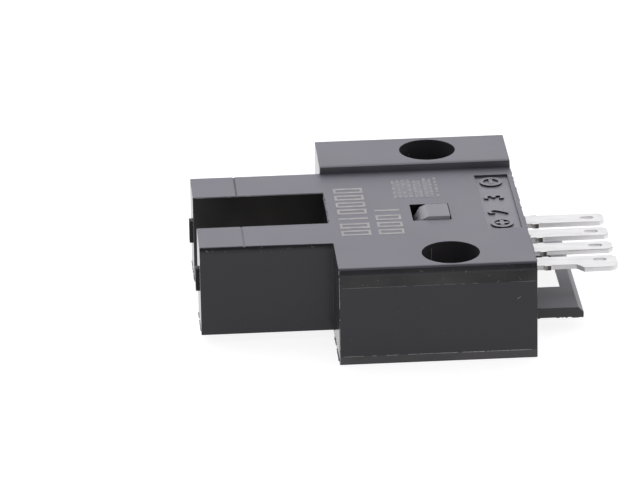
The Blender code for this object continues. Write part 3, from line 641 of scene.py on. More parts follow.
def on_block_wall(point):
    """True on the outer walls of the block and its flanges."""
    side = abs(abs(point.y) - wall_y(BLOCK_HALF, point.z)) < NEAR
    end = point.x > case_high.x - NEAR
    shoulder = abs(point.x - FLANGE_X) < NEAR and abs(point.y) > wall_y(FORK_HALF, 0) + NEAR
    return side or end or shoulder


def on_fork_wall(point):
    """True on the outer walls of the fork."""
    side = abs(abs(point.y) - wall_y(FORK_HALF, point.z)) < NEAR and point.x < FLANGE_X
    return side or point.x < case_low.x + NEAR


# %% Cut the parting lines and give the bands their finish
def score(piece, z, test):
    """Cut an edge line at a height across the upright faces that pass a test."""
    start_edit(piece)
    count = choose(piece, "FACE", lambda face: (
        is_upright(face) and test(face.calc_center_median())
    ))
    bpy.ops.mesh.bisect(plane_co=(0, 0, z), plane_no=(0, 0, 1))
    end_edit()
    return count


def finish_band(piece, finish, low, high, test):
    """Give a finish to the upright wall faces between two heights."""
    return finish_faces(piece, lambda face: (
        finish if low < face.center.z < high and is_upright(face) and test(face.center)
        else None
    ))


case = welded_copy("housing", "case_moulding")
dress(case, *CASE_FINISHES)
for z, test in (
    (UPPER_PARTING, on_block_wall), (LOWER_PARTING, on_block_wall),
    (FORK_BAND, on_fork_wall), (BLOCK_BAND, on_block_wall),
):
    print("scored faces:", score(case, z, test))
for finish, low, high, test in (
    (MOTTLED_BAND, UPPER_PARTING, BLOCK_BAND, on_block_wall),
    (DULL_SHOULDER, BLOCK_BAND, case_high.z, on_block_wall),
    (DULL_BAND_AND_GROOVE_SHADE, FORK_BAND, LABEL_Z, on_fork_wall),
    (LIP_AND_HOLE_PAINTED_LIGHT, 0.0, LOWER_PARTING, on_block_wall),
):
    print("band faces:", finish_band(case, finish, low, high, test))

# %% [markdown]
# Right under the top face the walls fall back a little more, like the shoulder
# of a worn mould. There they mirror the dim room instead of the floor, which is
# the dark line under the top edges. The raised flange's inner edge is rounded
# far more than the others, and shows as a grey strip above the step's dark wall.
# The front flange's top edge is worn too, about half as far.

# %% Ease the top of the front walls, and round the step's and the flange's edge
SHOULDER_SLOPE = 0.3
STEP_Y = 5.6 * MM
STEP_ROUNDING = 4.6           # both are times the CAD solid's small rounding
FLANGE_ROUNDING = 2.4


def ease_shoulder(piece, z, slope, test):
    """Move the front walls' corners above a height towards the middle."""
    start_edit(piece)
    shape = bmesh.from_edit_mesh(piece.data)
    moved = 0
    for vertex in shape.verts:
        if vertex.co.z > z + 0.001 * MM and vertex.co.y < 0 and test(vertex.co):
            vertex.co.y += slope * (vertex.co.z - z)
            moved += 1
    bmesh.update_edit_mesh(piece.data)
    end_edit()
    return moved


def front_side(half):
    """A test for points on the front wall of the given half width."""
    return lambda point: abs(-point.y - wall_y(half, point.z)) < NEAR and (
        (half == BLOCK_HALF) == (point.x > FLANGE_X - TOUCH)
    )


print("eased:", ease_shoulder(case, BLOCK_BAND, SHOULDER_SLOPE, front_side(BLOCK_HALF)))
print("eased:", ease_shoulder(case, FORK_BAND, SHOULDER_SLOPE, front_side(FORK_HALF)))
start_edit(case)
print("step corners:", choose(case, "VERT", lambda vertex: (
    abs(vertex.co.y - STEP_Y) < NEAR and vertex.co.z > LABEL_Z + 0.3 * MM
)))
bpy.ops.transform.resize(
    value=(1, STEP_ROUNDING, STEP_ROUNDING), center_override=(0, STEP_Y, case_high.z)
)
flange_edge = SHOULDER_SLOPE * (LABEL_Z - BLOCK_BAND) - BLOCK_HALF
print("flange corners:", choose(case, "VERT", lambda vertex: (
    abs(vertex.co.y - flange_edge) < NEAR
    and vertex.co.z > LABEL_Z - 0.08 * MM and vertex.co.x > FLANGE_X - TOUCH
)))
bpy.ops.transform.resize(
    value=(1, FLANGE_ROUNDING, FLANGE_ROUNDING), center_override=(0, flange_edge, LABEL_Z)
)
end_edit()

# %% [markdown]
# The slot's end was trimmed by hand and its top edge is nicked. The edge is
# subdivided, and some of its new corners are moved back into the top face. A
# line cut just below keeps the rest of the end wall flat, and the strip between
# is made of triangles, so that the hole cuts after it find a sound surface.

# %% Nick the slot's top edge
SLOT_HALF = 2.5 * MM
SLOT_END = -4.64 * MM
EDGE_REACH = 0.055 * MM       # reach of the rounding above the end wall
NICK = 0.08 * MM              # the deepest nick
NICK_STEPS = 40
NICK_CHANCE = 0.38
NICK_LINE = LABEL_Z - 0.3 * MM


def slot_share(place):
    """Where a point of the slot's two top end edges lies between their ends."""
    half = SLOT_HALF + max(0.0, place.x - SLOT_END)
    return (place.y + half) / (2 * half)


def on_slot_end(edge):
    """True for the two long edges of the rounding above the slot's end wall."""
    ends = [vertex.co for vertex in edge.verts]
    near = all(
        SLOT_END - 0.005 * MM < co.x < SLOT_END + EDGE_REACH
        and co.z > LABEL_Z - EDGE_REACH and abs(co.y) < SLOT_HALF + EDGE_REACH
        for co in ends
    )
    return near and abs(ends[0].y - ends[1].y) > SLOT_HALF


print("scored end wall:", score(case, NICK_LINE, lambda place: (
    abs(place.x - SLOT_END) < 0.02 * MM and abs(place.y) < SLOT_HALF
)))
start_edit(case)
print("slot edges:", choose(case, "EDGE", on_slot_end))
bpy.ops.mesh.subdivide(number_cuts=NICK_STEPS - 1)
draw = random.Random(17)
nicks = [
    NICK * draw.uniform(0.3, 1.0) if draw.random() < NICK_CHANCE else 0.0
    for _ in range(NICK_STEPS + 1)
]
nicks[0] = nicks[-1] = 0.0
shape = bmesh.from_edit_mesh(case.data)
for vertex in shape.verts:
    if vertex.select:
        vertex.co.x += nicks[round(slot_share(vertex.co) * NICK_STEPS)]
bmesh.update_edit_mesh(case.data)
print("end wall:", choose(case, "FACE", lambda face: (
    face.normal.x < -LEVEL and abs(face.calc_center_median().y) < SLOT_HALF
    and SLOT_END - TOUCH < face.calc_center_median().x < SLOT_END + 0.1 * MM
    and len(face.verts) > NICK_STEPS
)))
bpy.ops.mesh.quads_convert_to_tris(quad_method="BEAUTY", ngon_method="BEAUTY")
end_edit()
print("nicks:", sum(depth > 0 for depth in nicks))
print("open edges:", count_open_edges(case))

# %% [markdown]
# The screw holes are cut again with many more sides than the CAD solid needs,
# and their rims get the small rounding of a mould pin. Underneath, ejector pins
# pushed the moulding out and left round marks.

# %% Cut the screw holes and the ejector marks
HOLE_X = 2.3 * MM
HOLE_Y = 7.93 * MM
HOLE_RADIUS = 1.732 * MM
HOLE_ROUNDING = 0.04 * MM
BELOW, ABOVE = -1 * MM, 8 * MM   # heights outside the housing
PIN_PLACES = [(-2.7, 7.7), (-2.7, -7.7), (5.7, 8.3), (5.7, -8.3), (0.6, 2.6), (0.6, -2.6)]
PIN_RADIUS = 0.55 * MM
PIN_DEPTH = 0.03 * MM


def cut_round(piece, x, y, radius, low, high, sides=128):
    """Cut an upright round hole from a piece."""
    pick()
    bpy.ops.mesh.primitive_cylinder_add(
        vertices=sides, radius=radius, depth=high - low, location=(x, y, (low + high) / 2)
    )
    cutter = bpy.context.object
    modifier = piece.modifiers.new("hole", "BOOLEAN")
    modifier.operation = "DIFFERENCE"
    modifier.solver = "EXACT"
    modifier.object = cutter
    pick(piece)
    bpy.ops.object.modifier_apply(modifier=modifier.name)
    bpy.data.objects.remove(cutter, do_unlink=True)


for side in (-1, 1):
    cut_round(case, HOLE_X, side * HOLE_Y, HOLE_RADIUS, BELOW, ABOVE)
for x, y in PIN_PLACES:
    cut_round(case, x * MM, y * MM, PIN_RADIUS, BELOW, PIN_DEPTH, sides=48)


def on_hole_rim(edge):
    """True for an edge of a screw hole's rim."""
    ends = [vertex.co for vertex in edge.verts]
    level = abs(ends[0].z - ends[1].z) < 0.001 * MM
    ring = all(
        abs(math.hypot(co.x - HOLE_X, abs(co.y) - HOLE_Y) - HOLE_RADIUS) < 0.002 * MM
        for co in ends
    )
    outside = ends[0].z > 6 * MM or ends[0].z < 0.001 * MM
    return level and ring and outside


start_edit(case)
print("rim edges:", choose(case, "EDGE", on_hole_rim))
bpy.ops.mesh.bevel(offset=HOLE_ROUNDING, segments=2, affect="EDGES")
end_edit()

# %% [markdown]
# The screw holes, the slot, the step, the field of the terminal marks and its low
# walls are painted paler than the housing: painted light in these shaded places.
# The axis mark's groove is painted darker: painted shade in the groove. Each is
# found by its place and gets its own finish.

# %% Give the holes, the slot, the field and the low walls their finish
FIELD_Z = 5.95 * MM
AXIS_MARK = (-10.01 * MM, -9.87 * MM)     # the groove on the back arm, along X


def on_step(spot, normal):
    """True for the wall up to the raised flange and for its rounded top."""
    back = (spot.y - STEP_Y) / MM
    return -0.05 < back < 0.35 and spot.z > LABEL_Z + TOUCH and normal.y < -0.3


def on_field_wall(spot):
    """True for the low walls round the field of the terminal marks."""
    level = FIELD_Z - TOUCH < spot.z < LABEL_Z
    return level and HOLE_X < spot.x < case_high.x - 0.1 * MM and abs(spot.y) < 5 * MM


def case_detail(face):
    """The finish of a face that isn't plain housing, or None."""
    spot, upright = face.center, is_upright(face)
    away = math.hypot(spot.x - HOLE_X, abs(spot.y) - HOLE_Y)
    # the screw holes' walls take the lip's paler tone: painted light in the holes
    if abs(away - HOLE_RADIUS) < 0.02 * MM and upright:
        return LIP_AND_HOLE_PAINTED_LIGHT
    # the slot's walls: painted light
    if abs(abs(spot.y) - SLOT_HALF) < 0.02 * MM and spot.x < FLANGE_X and upright:
        return SLOT_PAINTED_LIGHT
    # the step, its rounded top and the field's low walls: painted light
    if on_step(spot, face.normal) or (upright and on_field_wall(spot)):
        return STEP_PAINTED_LIGHT
    # the axis mark's groove: painted shade
    if AXIS_MARK[0] < spot.x < AXIS_MARK[1] and spot.y > 0 and 5.9 < spot.z / MM < 6.095:
        return DULL_BAND_AND_GROOVE_SHADE
    # the field's floor: painted light
    if abs(spot.z - FIELD_Z) < TOUCH and face.normal.z > LEVEL and spot.x > HOLE_X:
        return FIELD_PAINTED_LIGHT
    return None


print("faces finished:", finish_faces(case, case_detail))
settle_normals(case)
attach(case, "root")
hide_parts("housing")
print("case faces:", len(case.data.polygons), "open edges:", count_open_edges(case))

# %% [markdown]
# Where the mould's halves met, a little plastic crept between them. This flash
# is a ragged ridge a hundredth or two of a millimetre proud, broken in places
# and scuffed pale. Each ridge starts as a thin bar, is subdivided along its
# length, and its outer corners are shaken at random.

# %% Helper: a ragged ridge
RIDGE_CHANGE = 0.35           # chance of a new start or stop at each corner
CREST = 0.3                   # both are shares of the thickness
SHAKE = 0.15


def flash_ridge(
    name, start, end, outward, thick, proud, cuts, seed, shown=0.8, finish=FLASH_AND_HIGHLIGHT,
    slot="housing_moulding"
):
    """A ragged ridge along X, Y or Z, leaning outward; thick and proud are in mm."""
    thick, proud = thick * MM, proud * MM
    start, end = Vector(start), Vector(end)
    span, middle = end - start, (start + end) / 2
    axis_long = max(range(3), key=lambda i: abs(span[i]))
    axis_out = max(range(3), key=lambda i: abs(outward[i]))
    axis_thick = 3 - axis_out - axis_long
    size = [0.0, 0.0, 0.0]
    size[axis_long] = abs(span[axis_long])
    size[axis_out] = 2 * proud
    size[axis_thick] = thick
    ridge = add_cube(middle, size)
    ridge.name = ridge.data.name = name
    start_edit(ridge)
    choose(ridge, "EDGE", lambda edge: abs(
        edge.verts[0].co[axis_long] - edge.verts[1].co[axis_long]) > 2 * thick)
    bpy.ops.mesh.subdivide(number_cuts=cuts)
    sign = 1 if outward[axis_out] > 0 else -1
    draw = random.Random(seed)
    shape = bmesh.from_edit_mesh(ridge.data)
    height = {}
    standing = False
    for vertex in sorted(shape.verts, key=lambda v: tuple(v.co)):
        share = (vertex.co[axis_long] - start[axis_long]) / span[axis_long]
        wall = start.lerp(end, share)[axis_out]
        if (vertex.co[axis_out] - middle[axis_out]) * sign <= 0:
            vertex.co[axis_out] = wall - sign * proud
            continue
        key = round(share * (cuts + 1))
        if key not in height:
            if draw.random() < RIDGE_CHANGE:
                standing = draw.random() < shown
            height[key] = draw.uniform(0.35, 1.0) if standing else -0.3
        vertex.co[axis_out] = wall + sign * proud * height[key]
        offset = vertex.co[axis_thick] - middle[axis_thick]
        shake = draw.uniform(-SHAKE, SHAKE) * thick
        vertex.co[axis_thick] = middle[axis_thick] + CREST * offset + shake
    bmesh.update_edit_mesh(ridge.data)
    end_edit()
    dress(ridge, finish)
    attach(ridge, "root")


# %% [markdown]
# Both flanges have a dull ridge on the upper parting line and a pale, rougher
# one on the lower, where the mould closed less tightly.

# %% Model the parting flash
SIDES = (("front", -1), ("back", 1))
side_low, side_high = FLANGE_X + 0.1 * MM, case_high.x - 0.1 * MM
for label, side in SIDES:
    for level, z, thick, proud, seed, shown, finish in (
        ("upper", UPPER_PARTING, 0.045, 0.01, 11, 0.78, DULL_FLASH),
        ("lower", LOWER_PARTING, 0.06, 0.018, 12, 0.7, FLASH_AND_HIGHLIGHT),
    ):
        y = side * wall_y(BLOCK_HALF, z)
        flash_ridge(
            f"{label}_{level}_flash", (side_low, y, z), (side_high, y, z), (0, side, 0),
            thick, proud, 150, seed + side, shown, finish,
        )
print("flash ridges along both flanges")

# %% [markdown]
# Flash also hangs along the feet of the shoulders and of the arm tips, where it
# shows as a ragged dark outline against the floor, and at the terminal end. A pale
# line from top to foot on the front flange's left corner is a painted highlight of
# the rounded corner. A short broken pale line runs along the slot's edge, a short
# pale ridge at the mark field's corner is a painted glint, and a pale line runs up
# each screw hole's wall.

# %% Model the flash at the feet, and the pale lines at the corners and in the holes
FOOT_Z = 0.1 * MM
ARM_Z = 0.6 * MM
CORNER_INSET = 0.008 * MM
CORNER_X = FLANGE_X + 0.04 * MM
CORNER_TOP = LABEL_Z - 0.13 * MM
END_Z = LABEL_Z - 0.09 * MM
SLOT_Z = LABEL_Z - 0.04 * MM
FIELD_FRONT = -4.47 * MM      # just outside the mark field's front border
HOLE_LINE_X = 1.04 * MM       # pale line in each screw hole, from its axis
block_foot, fork_foot = wall_y(BLOCK_HALF, 0), wall_y(FORK_HALF, 0)
for label, side in SIDES:
    for part, x, y_start, y_end, z, proud, cuts, seed in (
        ("shoulder", FLANGE_X, block_foot - 0.1 * MM, fork_foot + 0.1 * MM, FOOT_Z,
         0.06, 44, 31),
        ("tip", case_low.x, fork_foot - 0.1 * MM, 2.6 * MM, ARM_Z, 0.05, 36, 41),
    ):
        flash_ridge(
            f"{label}_{part}_flash", (x, side * y_start, z), (x, side * y_end, z),
            (-1, 0, 0), 0.1, proud, cuts, seed + side, finish=CASE,
        )
corner_lean = SHOULDER_SLOPE * (CORNER_TOP - BLOCK_BAND)
corner_foot = (CORNER_X, CORNER_INSET - block_foot, 0.08 * MM)
corner_band = (CORNER_X, CORNER_INSET - wall_y(BLOCK_HALF, BLOCK_BAND), BLOCK_BAND)
corner_end = (CORNER_X, CORNER_INSET + corner_lean - wall_y(BLOCK_HALF, CORNER_TOP), CORNER_TOP)
for row in (
    # a pale ridge painted as the highlight of the front flange's rounded corner
    ("front_corner_flash", corner_foot, corner_band, (0, -1, 0),
     0.05, 0.014, 120, 51, 0.85),
    ("front_top_corner_flash", corner_band, corner_end, (0, -1, 0),
     0.05, 0.014, 10, 52, 1.0),
    ("terminal_end_flash", (case_high.x, -9.85 * MM, END_Z),
     (case_high.x, STEP_Y - 0.1 * MM, END_Z), (1, 0, 0),
     0.09, 0.06, 110, 61, 0.6, CASE),
    ("slot_edge_flash", (case_low.x + 0.1 * MM, SLOT_HALF, SLOT_Z),
     (FLANGE_X - 0.1 * MM, SLOT_HALF, SLOT_Z), (0, -1, 0),
     0.05, 0.012, 90, 71, 0.16),
    # a painted glint at the mark field's corner
    ("field_corner_flash", (6.15 * MM, FIELD_FRONT, LABEL_Z),
     (6.93 * MM, FIELD_FRONT, LABEL_Z), (0, 0, 1),
     0.06, 0.012, 12, 81, 0.9),
):
    flash_ridge(*row)
# a pale line up each screw hole's wall
for label, side in SIDES:
    x, y = HOLE_X - HOLE_LINE_X, side * HOLE_Y + math.sqrt(HOLE_RADIUS**2 - HOLE_LINE_X**2)
    flash_ridge(
        f"{label}_hole_pale_line", (x, y, 1.0 * MM), (x, y, 5.8 * MM), (0, -1, 0),
        0.05, 0.02, 40, 91 + side,
    )
print("flash at the feet, pale lines at the corners and in the holes")

# %% [markdown]
# One short scratch crosses the front wall near the terminals. It shows pale
# because the scraped plastic stands up along it.

# %% Model the scratch
SCRATCH_X, SCRATCH_Z = 6.17 * MM, 3.87 * MM
SCRATCH_SIZE = (0.25 * MM, 0.014 * MM, 0.032 * MM)
SCRATCH_TURN = math.radians(-32)
scratch = add_cube(
    (SCRATCH_X, -wall_y(BLOCK_HALF, SCRATCH_Z), SCRATCH_Z), SCRATCH_SIZE,
    (0, SCRATCH_TURN, 0),
)
scratch.name = scratch.data.name = "wall_scratch"
dress(scratch, FLASH_AND_HIGHLIGHT)
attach(scratch, "root")
print("scratch faces:", len(scratch.data.polygons))

# %% [markdown]
# ## The raised terminal marks
# In a shallow field at the terminal end the mould raises a mark for each
# terminal: plus and minus signs in rings, and plain numbers between them. A
# ring is a filled circle that is inset, opened and pulled up. A number is a
# text object that is turned into a mesh first.

# %% Model the terminal marks
MARK_HEIGHT = 0.1 * MM
MARK_X = 5.85 * MM
MARK_TOP = FIELD_Z + MARK_HEIGHT
RING_RADIUS = 0.7 * MM
STROKE = 0.23 * MM
SIGN_GAP = 0.16 * MM          # what a sign's two ends lack to the ring


def add_bar(x, y, length_x, length_y):
    """One raised bar of a sign."""
    return add_cube((x, y, (FIELD_Z + MARK_TOP) / 2), (length_x, length_y, MARK_TOP - FIELD_Z))


def ring_mark(y, bars):
    """A ring with a minus or a plus in it."""
    pick()
    bpy.ops.mesh.primitive_circle_add(
        vertices=72, radius=RING_RADIUS, fill_type="NGON", location=(MARK_X, y, FIELD_Z)
    )
    ring = bpy.context.object
    apply_place()
    start_edit(ring)
    bpy.ops.mesh.inset(thickness=STROKE, depth=0.0)
    bpy.ops.mesh.delete(type="FACE")
    pull_up(MARK_HEIGHT)
    reach = 2 * (RING_RADIUS - STROKE) - SIGN_GAP
    parts = [ring, add_bar(MARK_X, y, STROKE, reach)]
    if bars == 2:
        arm = (reach - STROKE) / 2
        parts += [add_bar(MARK_X + side * (STROKE + arm) / 2, y, arm, STROKE) for side in (-1, 1)]
    return parts


def number_mark(text, y):
    """A raised number, read along +Y."""
    pick()
    bpy.ops.object.text_add(location=(0, 0, 0))
    label = bpy.context.object
    label.data.body = text
    label.data.size = 1.7 * MM
    label.data.extrude = MARK_HEIGHT / 2
    label.data.offset = 0.03 * MM
    label.data.align_x = label.data.align_y = "CENTER"
    bpy.ops.object.convert(target="MESH")
    label = bpy.context.object
    label.location = (MARK_X, y, FIELD_Z + MARK_HEIGHT / 2)
    label.rotation_euler = (0, 0, math.radians(90))
    apply_place()
    return [label]


mark_parts = ring_mark(-3.4 * MM, 2) + ring_mark(3.45 * MM, 1)
mark_parts += number_mark("2", -1.45 * MM) + number_mark("3", 0.95 * MM)
marks = join(mark_parts, "terminal_marks")
start_edit(marks)
bpy.ops.mesh.remove_doubles(threshold=WELD)
end_edit()
settle_normals(marks)
# the marks take the field's paler tone: painted light
dress(marks, FIELD_PAINTED_LIGHT)
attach(marks, "root")
print("terminal marks:", len(marks.data.polygons), "faces")

# %% [markdown]
# ## The marking on the label face
# The real switch carries laser marking that belongs to its maker. Here there
# are plain shapes of the same size and tone in its place: two rows of outlined
# blocks, and a patch of short faint dashes on fainter plates.

# %% Helpers for printed shapes
PRINT_HEIGHT = 0.008 * MM
LINE_STROKE = 0.15 * MM
WIDER = 1.7                   # strokes along X are this much thicker than those along Y


def print_block(x, y, length, width, open_inside=False):
    """One printed shape: a bar, or an outlined block."""
    pick()
    bpy.ops.mesh.primitive_plane_add(size=1.0, location=(x, y, LABEL_Z - PRINT_HEIGHT))
    shape = bpy.context.object
    shape.scale = (length, width / WIDER, 1.0)
    apply_place()
    start_edit(shape)
    if open_inside:
        bpy.ops.mesh.inset(thickness=LINE_STROKE, depth=0.0)
        bpy.ops.mesh.delete(type="FACE")
    bpy.ops.mesh.select_all(action="SELECT")
    bpy.ops.transform.resize(value=(1, WIDER, 1), center_override=(x, y, 0))
    pull_up(2 * PRINT_HEIGHT)
    return shape


def join_print(parts, name, material):
    """Join printed shapes into one piece."""
    piece = join(parts, name)
    dress(piece, material)
    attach(piece, "root")


# %% [markdown]
# The rows, the plates and the dashes were burnt in with less and less power, so
# each of them is one piece with a tone of its own.

# %% Print the outlined blocks, the plates and the dashes
BLOCK_PITCH = 1.16 * MM
BLOCK_WIDTH = 0.84 * MM
ROW_START = -4.3             # from here on, places and sizes in lists are in mm
ROWS = [("label_row_1", -3.08, 1.8, "OOIOOOO"), ("label_row_2", -0.95, 1.55, "OOOI")]
for name, x, height, shapes in ROWS:
    parts = []
    for number, kind in enumerate(shapes):
        y = ROW_START * MM + number * BLOCK_PITCH
        width = BLOCK_WIDTH if kind == "O" else WIDER * LINE_STROKE
        parts.append(print_block(x * MM, y, height * MM, width, kind == "O"))
    join_print(parts, name, PRINT)

PLATES = [(0.1, 0.62), (0.82, 0.42), (1.34, 0.5), (1.92, 0.54)]   # start and length in X
PLATE_SHIFT = 0.35
PLATE_Y, PLATE_WIDTH = 2.58 * MM, 2.75 * MM
plates = [
    print_block((start - PLATE_SHIFT + length / 2) * MM, PLATE_Y, length * MM, PLATE_WIDTH)
    for start, length in PLATES
]
for plate in plates:
    plate.data.transform(Matrix.Translation((0, 0, -0.6 * PRINT_HEIGHT)))
join_print(plates, "faint_plates", PLATE_PRINT)

DASH_COLUMNS = 9
DASH_PITCH = 0.33 * MM
DASH_WIDTH = 0.17 * MM
draw = random.Random(5)
dashes = []
for column in range(DASH_COLUMNS):
    x = -0.25 * MM + column * DASH_PITCH
    y = 1.15 * MM
    while y < 4.0 * MM:
        length = draw.uniform(0.15, 0.6) * MM
        dashes.append(print_block(x, y + length / 2, DASH_WIDTH, length))
        y += length + draw.uniform(0.1, 0.22) * MM
join_print(dashes, "faint_patch", FAINT_PRINT)
print("printed dashes:", len(dashes))

# %% [markdown]
# ## The carrier
# The hook in the roof window, the two noses in the arm tips and the locking
# loop are parts of one inner moulding. A copy of its solid gets small rounded
# edges, which catch the light as the real ones do. The inner face of the loop's
# end bar leans outward at its foot, as the mould left it.

# %% Shape the carrier and round its edges
HOOK_FRONT_Y = -2.29 * MM
HOOK_WIDENING = 0.15 * MM     # its worn front side stands this much nearer the window
LOOP_OPENING_END = case_high.x + 2.16 * MM
LOOP_UNDERCUT = 0.22 * MM
CARRIER_ROUNDING = 0.025 * MM


def on_hook_side(face):
    """True for the hook's front side."""
    top = max(vertex.co.z for vertex in face.verts)
    side = abs(face.calc_center_median().y - HOOK_FRONT_Y) < TOUCH
    return side and face.normal.y < -LEVEL and top > LABEL_Z


def under_opening(vertex):
    """True for the lower corners of the end bar's inner face."""
    return abs(vertex.co.x - LOOP_OPENING_END) < TOUCH and vertex.co.z < 1.0 * MM


carrier = welded_copy("carrier", "carrier_frame")
for label, kind, test, move in (
    ("hook sides:", "FACE", on_hook_side, (0, -HOOK_WIDENING, 0)),
    ("loop corners:", "VERT", under_opening, (LOOP_UNDERCUT, 0, 0)),
):
    start_edit(carrier)
    print(label, choose(carrier, kind, test))
    bpy.ops.transform.translate(value=move)
    end_edit()
round_edges(carrier, CARRIER_ROUNDING)
settle_normals(carrier)

# %% [markdown]
# The hook's ramp is streaked with scrapes, and its pale tone is painted light in
# the shade of the window. The hook's top is a little paler, and its front side is
# painted far paler: painted light in the shaded gap before the window's edge. The
# noses sit deep in their windows and are smooth; their dark tops are painted shade.

# %% Give the carrier its finishes
def carrier_detail(face):
    """The finish of a carrier face that is scraped, or painted with light or shade, or None."""
    spot, normal = face.center, face.normal
    on_side = abs(spot.y - HOOK_FRONT_Y + HOOK_WIDENING) < 0.03 * MM
    if on_side and normal.y < -0.2 and 0.6 * MM < spot.x < 2.9 * MM:
        return PALE_HOOK_PAINTED_LIGHT
    if normal.x < -0.4 and normal.z > 0.4 and spot.z > 5 * MM:
        return SCRAPED_RAMP_PAINTED_LIGHT
    if normal.z > LEVEL and spot.z > LABEL_Z - 0.5 * MM and spot.x > 0:
        return PALE_HOOK_PAINTED_LIGHT
    if min(carrier.data.vertices[i].co.x for i in face.vertices) < case_low.x:
        return NOSE_PAINTED_SHADE
    return None


dress(carrier, *CARRIER_FINISHES)
print("carrier faces with scrapes, painted light or shade:", finish_faces(carrier, carrier_detail))
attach(carrier, "root")
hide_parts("carrier")
print("carrier faces:", len(carrier.data.polygons))

# %% [markdown]
# The loop's lower edge kept a small burr where the mould closed under it. It is
# one more ragged ridge, as black as the moulding.

# %% Model the burr under the loop
BURR_Y, BURR_Z = -6.02 * MM, 0.75 * MM
flash_ridge(
    "loop_burr", (case_high.x + 0.06 * MM, BURR_Y, BURR_Z),
    (case_high.x + 3.24 * MM, BURR_Y, BURR_Z), (0, 0, -1), 0.05, 0.06, 44, 97,
    0.5, CARRIER, "carrier_moulding",
)
print("burr under the loop")

# %% [markdown]
# ## The terminals
# Each terminal is a copy of its solid with the slightly rounded edges that
# punching and plating leave. The cut faces of the tie stubs show bare copper.

# %% Round the terminals and show their cut faces
STUB_X = (case_high.x + 1.07 * MM, case_high.x + 1.49 * MM)
HALF_OVER_STUBS = 0.75 * MM   # from a terminal's middle to the face of a tie stub
TERMINAL_ROUNDING = 0.03 * MM


def terminal_detail(face, middle_y):
    """The finish of a terminal's punched or cut face, or None."""
    inside = STUB_X[0] < face.center.x < STUB_X[1]
    far = abs(face.center.y - middle_y) > HALF_OVER_STUBS - 0.05 * MM
    if inside and far and abs(face.normal.y) > 0.7:
        # the stubs' cut faces: dark copper with a painted highlight
        return STUB_COPPER_AND_HIGHLIGHT
    # punched sides: painted light
    return PUNCHED_TIN_PAINTED_LIGHT if is_upright(face) else None


for number in range(1, 5):
    strip = welded_copy(f"terminal_{number}", f"terminal_strip_{number}")
    round_edges(strip, TERMINAL_ROUNDING)
    dress(strip, TIN, STUB_COPPER_AND_HIGHLIGHT, PUNCHED_TIN_PAINTED_LIGHT)
    middle_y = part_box(f"terminal_{number}")[1].y - HALF_OVER_STUBS
    print(strip.name, finish_faces(strip, lambda face: terminal_detail(face, middle_y)))
    settle_normals(strip)
    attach(strip, "root")
    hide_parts(f"terminal_{number}")

# %% [markdown]
# ## The board, the optics and the small parts
# They keep their CAD shapes. Each gets the finish of the real thing: solder
# mask over a weave, dark resin that lets infrared through, red diffused resin
# for the lamp, and chips with metal end caps.

# %% Finish of the board
def board_finish():
    """Green solder mask with the faint weave of the laminate under it."""
    material, tree, shader = new_material("board_laminate", 0.35)
    weave = add(tree, "ShaderNodeTexChecker", sockets={"Scale": 4000.0})
    link(tree, own_place(tree), weave.inputs["Vector"])
    fine, wide = use_group(tree, GRAIN, Grain_Scale=9000.0, Cloud_Scale=700.0)
    green = mix_colours(tree, wide, (0.03, 0.15, 0.06), (0.045, 0.2, 0.085))
    relief = maths(tree, "ADD", weave.outputs["Fac"], fine)
    surface(tree, shader, green, relief, 0.15, 0.01 * MM)
    return material


BOARD = board_finish()
print("board finish:", BOARD.name)

# %% Finish of the resins
def resin_finish(name, colour, cloud, roughness):
    """Smooth cast resin with faint clouds in it."""
    material, tree, shader = new_material(name, roughness)
    fine, wide = use_group(tree, GRAIN, Grain_Scale=16000.0, Cloud_Scale=1100.0)
    tone = mix_colours(tree, wide, colour, cloud)
    shader.inputs["Coat Weight"].default_value = 0.5
    shader.inputs["Coat Roughness"].default_value = 0.08
    surface(tree, shader, tone, fine, 0.08, 0.005 * MM)
    return material


OPTIC = resin_finish("optic_resin", (0.035, 0.018, 0.03), (0.05, 0.026, 0.04), 0.16)
LAMP = resin_finish("lamp_resin", (0.72, 0.2, 0.16), (0.8, 0.3, 0.24), 0.22)
print("resin finishes:", OPTIC.name, LAMP.name)

# %% Finish of the chips
CHIP_CAP = 0.2 * MM
CAP_TIN = (0.78, 0.76, 0.74)


def chip_finish(name, node, body, speck):
    """A chip's body colour, with tin on its two ends along X."""
    low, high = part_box(node)
    material, tree, shader = new_material(name, 0.4)
    x_middle, half = (low.x + high.x) / 2, (high.x - low.x) / 2
    off = maths(tree, "SUBTRACT", along(tree, own_place(tree), "X"), x_middle)
    far = maths(tree, "ABSOLUTE", off, 0.0)
    cap = spread(tree, far, half - CHIP_CAP - 0.005 * MM, half - CHIP_CAP)
    fine, wide = use_group(tree, GRAIN, Grain_Scale=15000.0, Cloud_Scale=2500.0)
    tone = mix_colours(tree, wide, body, speck)
    link(tree, cap, shader.inputs["Metallic"])
    surface(tree, shader, mix_colours(tree, cap, tone, CAP_TIN), fine, 0.2, 0.006 * MM)
    return material


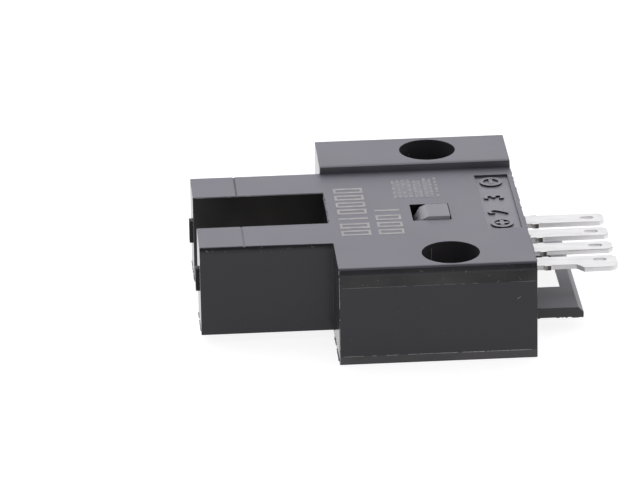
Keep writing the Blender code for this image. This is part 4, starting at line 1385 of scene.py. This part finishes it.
# %% Dress the board, the optics and the small parts
BLACK_CHIP = moulded_plastic(
    "chip_black", (0.022, 0.022, 0.022), (0.032, 0.031, 0.03), (0.045, 0.045, 0.045),
    (0.12, 0.12, 0.11), 0.5, roughness=0.5, grain=18000.0,
)
RESISTOR = ((0.02, 0.02, 0.022), (0.04, 0.04, 0.045))
for node, finish in (
    ("circuit_board", BOARD), ("emitter", OPTIC), ("receiver", OPTIC),
    ("indicator_led", LAMP), ("output_transistor", BLACK_CHIP),
    ("emitter_lead_1", LEAD_TIN), ("emitter_lead_2", LEAD_TIN),
    ("receiver_lead_1", LEAD_TIN), ("receiver_lead_2", LEAD_TIN),
    ("receiver_lead_3", LEAD_TIN),
):
    dress(nodes[node], finish)
for node, tones in (
    ("indicator_resistor", RESISTOR), ("emitter_resistor", RESISTOR),
    ("zener_diode", ((0.03, 0.028, 0.028), (0.05, 0.045, 0.045))),
    ("supply_capacitor", ((0.36, 0.28, 0.2), (0.44, 0.35, 0.26))),
):
    dress(nodes[node], chip_finish(node + "_finish", node, *tones))
print("inner pieces dressed")

# %% [markdown]
# ## The stage
# The switch lies on a plain pale floor. The world is a soft studio: a bright
# wall behind the object, which its top faces mirror, softer light from above
# and the sides, and a dim room in front.

# %% Floor
FLOOR_SIZE = 0.9
FLOOR_TONE = (0.36, 0.36, 0.363, 1.0)
FLOOR_GLOW = 0.84
pick()
bpy.ops.mesh.primitive_plane_add(size=FLOOR_SIZE, location=(0, 0, -TOUCH))
floor = bpy.context.object
floor.name = "floor"
floor_material, floor_tree, floor_shader = new_material("pale_floor", 0.9)
for label, value in (
    ("Base Color", FLOOR_TONE), ("Specular IOR Level", 0.1),
    ("Emission Color", (1.0, 1.0, 1.0, 1.0)), ("Emission Strength", FLOOR_GLOW),
):
    floor_shader.inputs[label].default_value = value
dress(floor, floor_material)
print("floor size in mm:", in_mm(*floor.dimensions))

# %% World light
FRONT_LIGHT = 0.3
BACK_LIGHT = 1.15
SOFTBOX_LIGHT = 0.9
SOFTBOX_DIRECTION = (-0.15, 0.68, 0.73)
STUDIO_TINT = (0.97, 0.96, 1.03)

world = bpy.data.worlds.new("soft_studio")
bpy.context.scene.world = world
world.use_nodes = True
sky = world.node_tree
background = sky.nodes["Background"]
direction = add(sky, "ShaderNodeTexCoord").outputs["Generated"]
wall = spread(sky, along(sky, direction, "Y"), -0.6, 0.8, FRONT_LIGHT, BACK_LIGHT)
towards = add(sky, "ShaderNodeVectorMath", operation="DOT_PRODUCT")
link(sky, direction, towards.inputs[0])
towards.inputs[1].default_value = Vector(SOFTBOX_DIRECTION).normalized()
softbox = spread(sky, towards.outputs["Value"], 0.62, 0.92, 0.0, SOFTBOX_LIGHT)
link(sky, maths(sky, "ADD", wall, softbox), background.inputs["Strength"])
background.inputs["Color"].default_value = (*STUDIO_TINT, 1.0)
bpy.context.scene.view_settings.view_transform = "Standard"
print("world:", world.name)

# %% Clear the selection
pick()
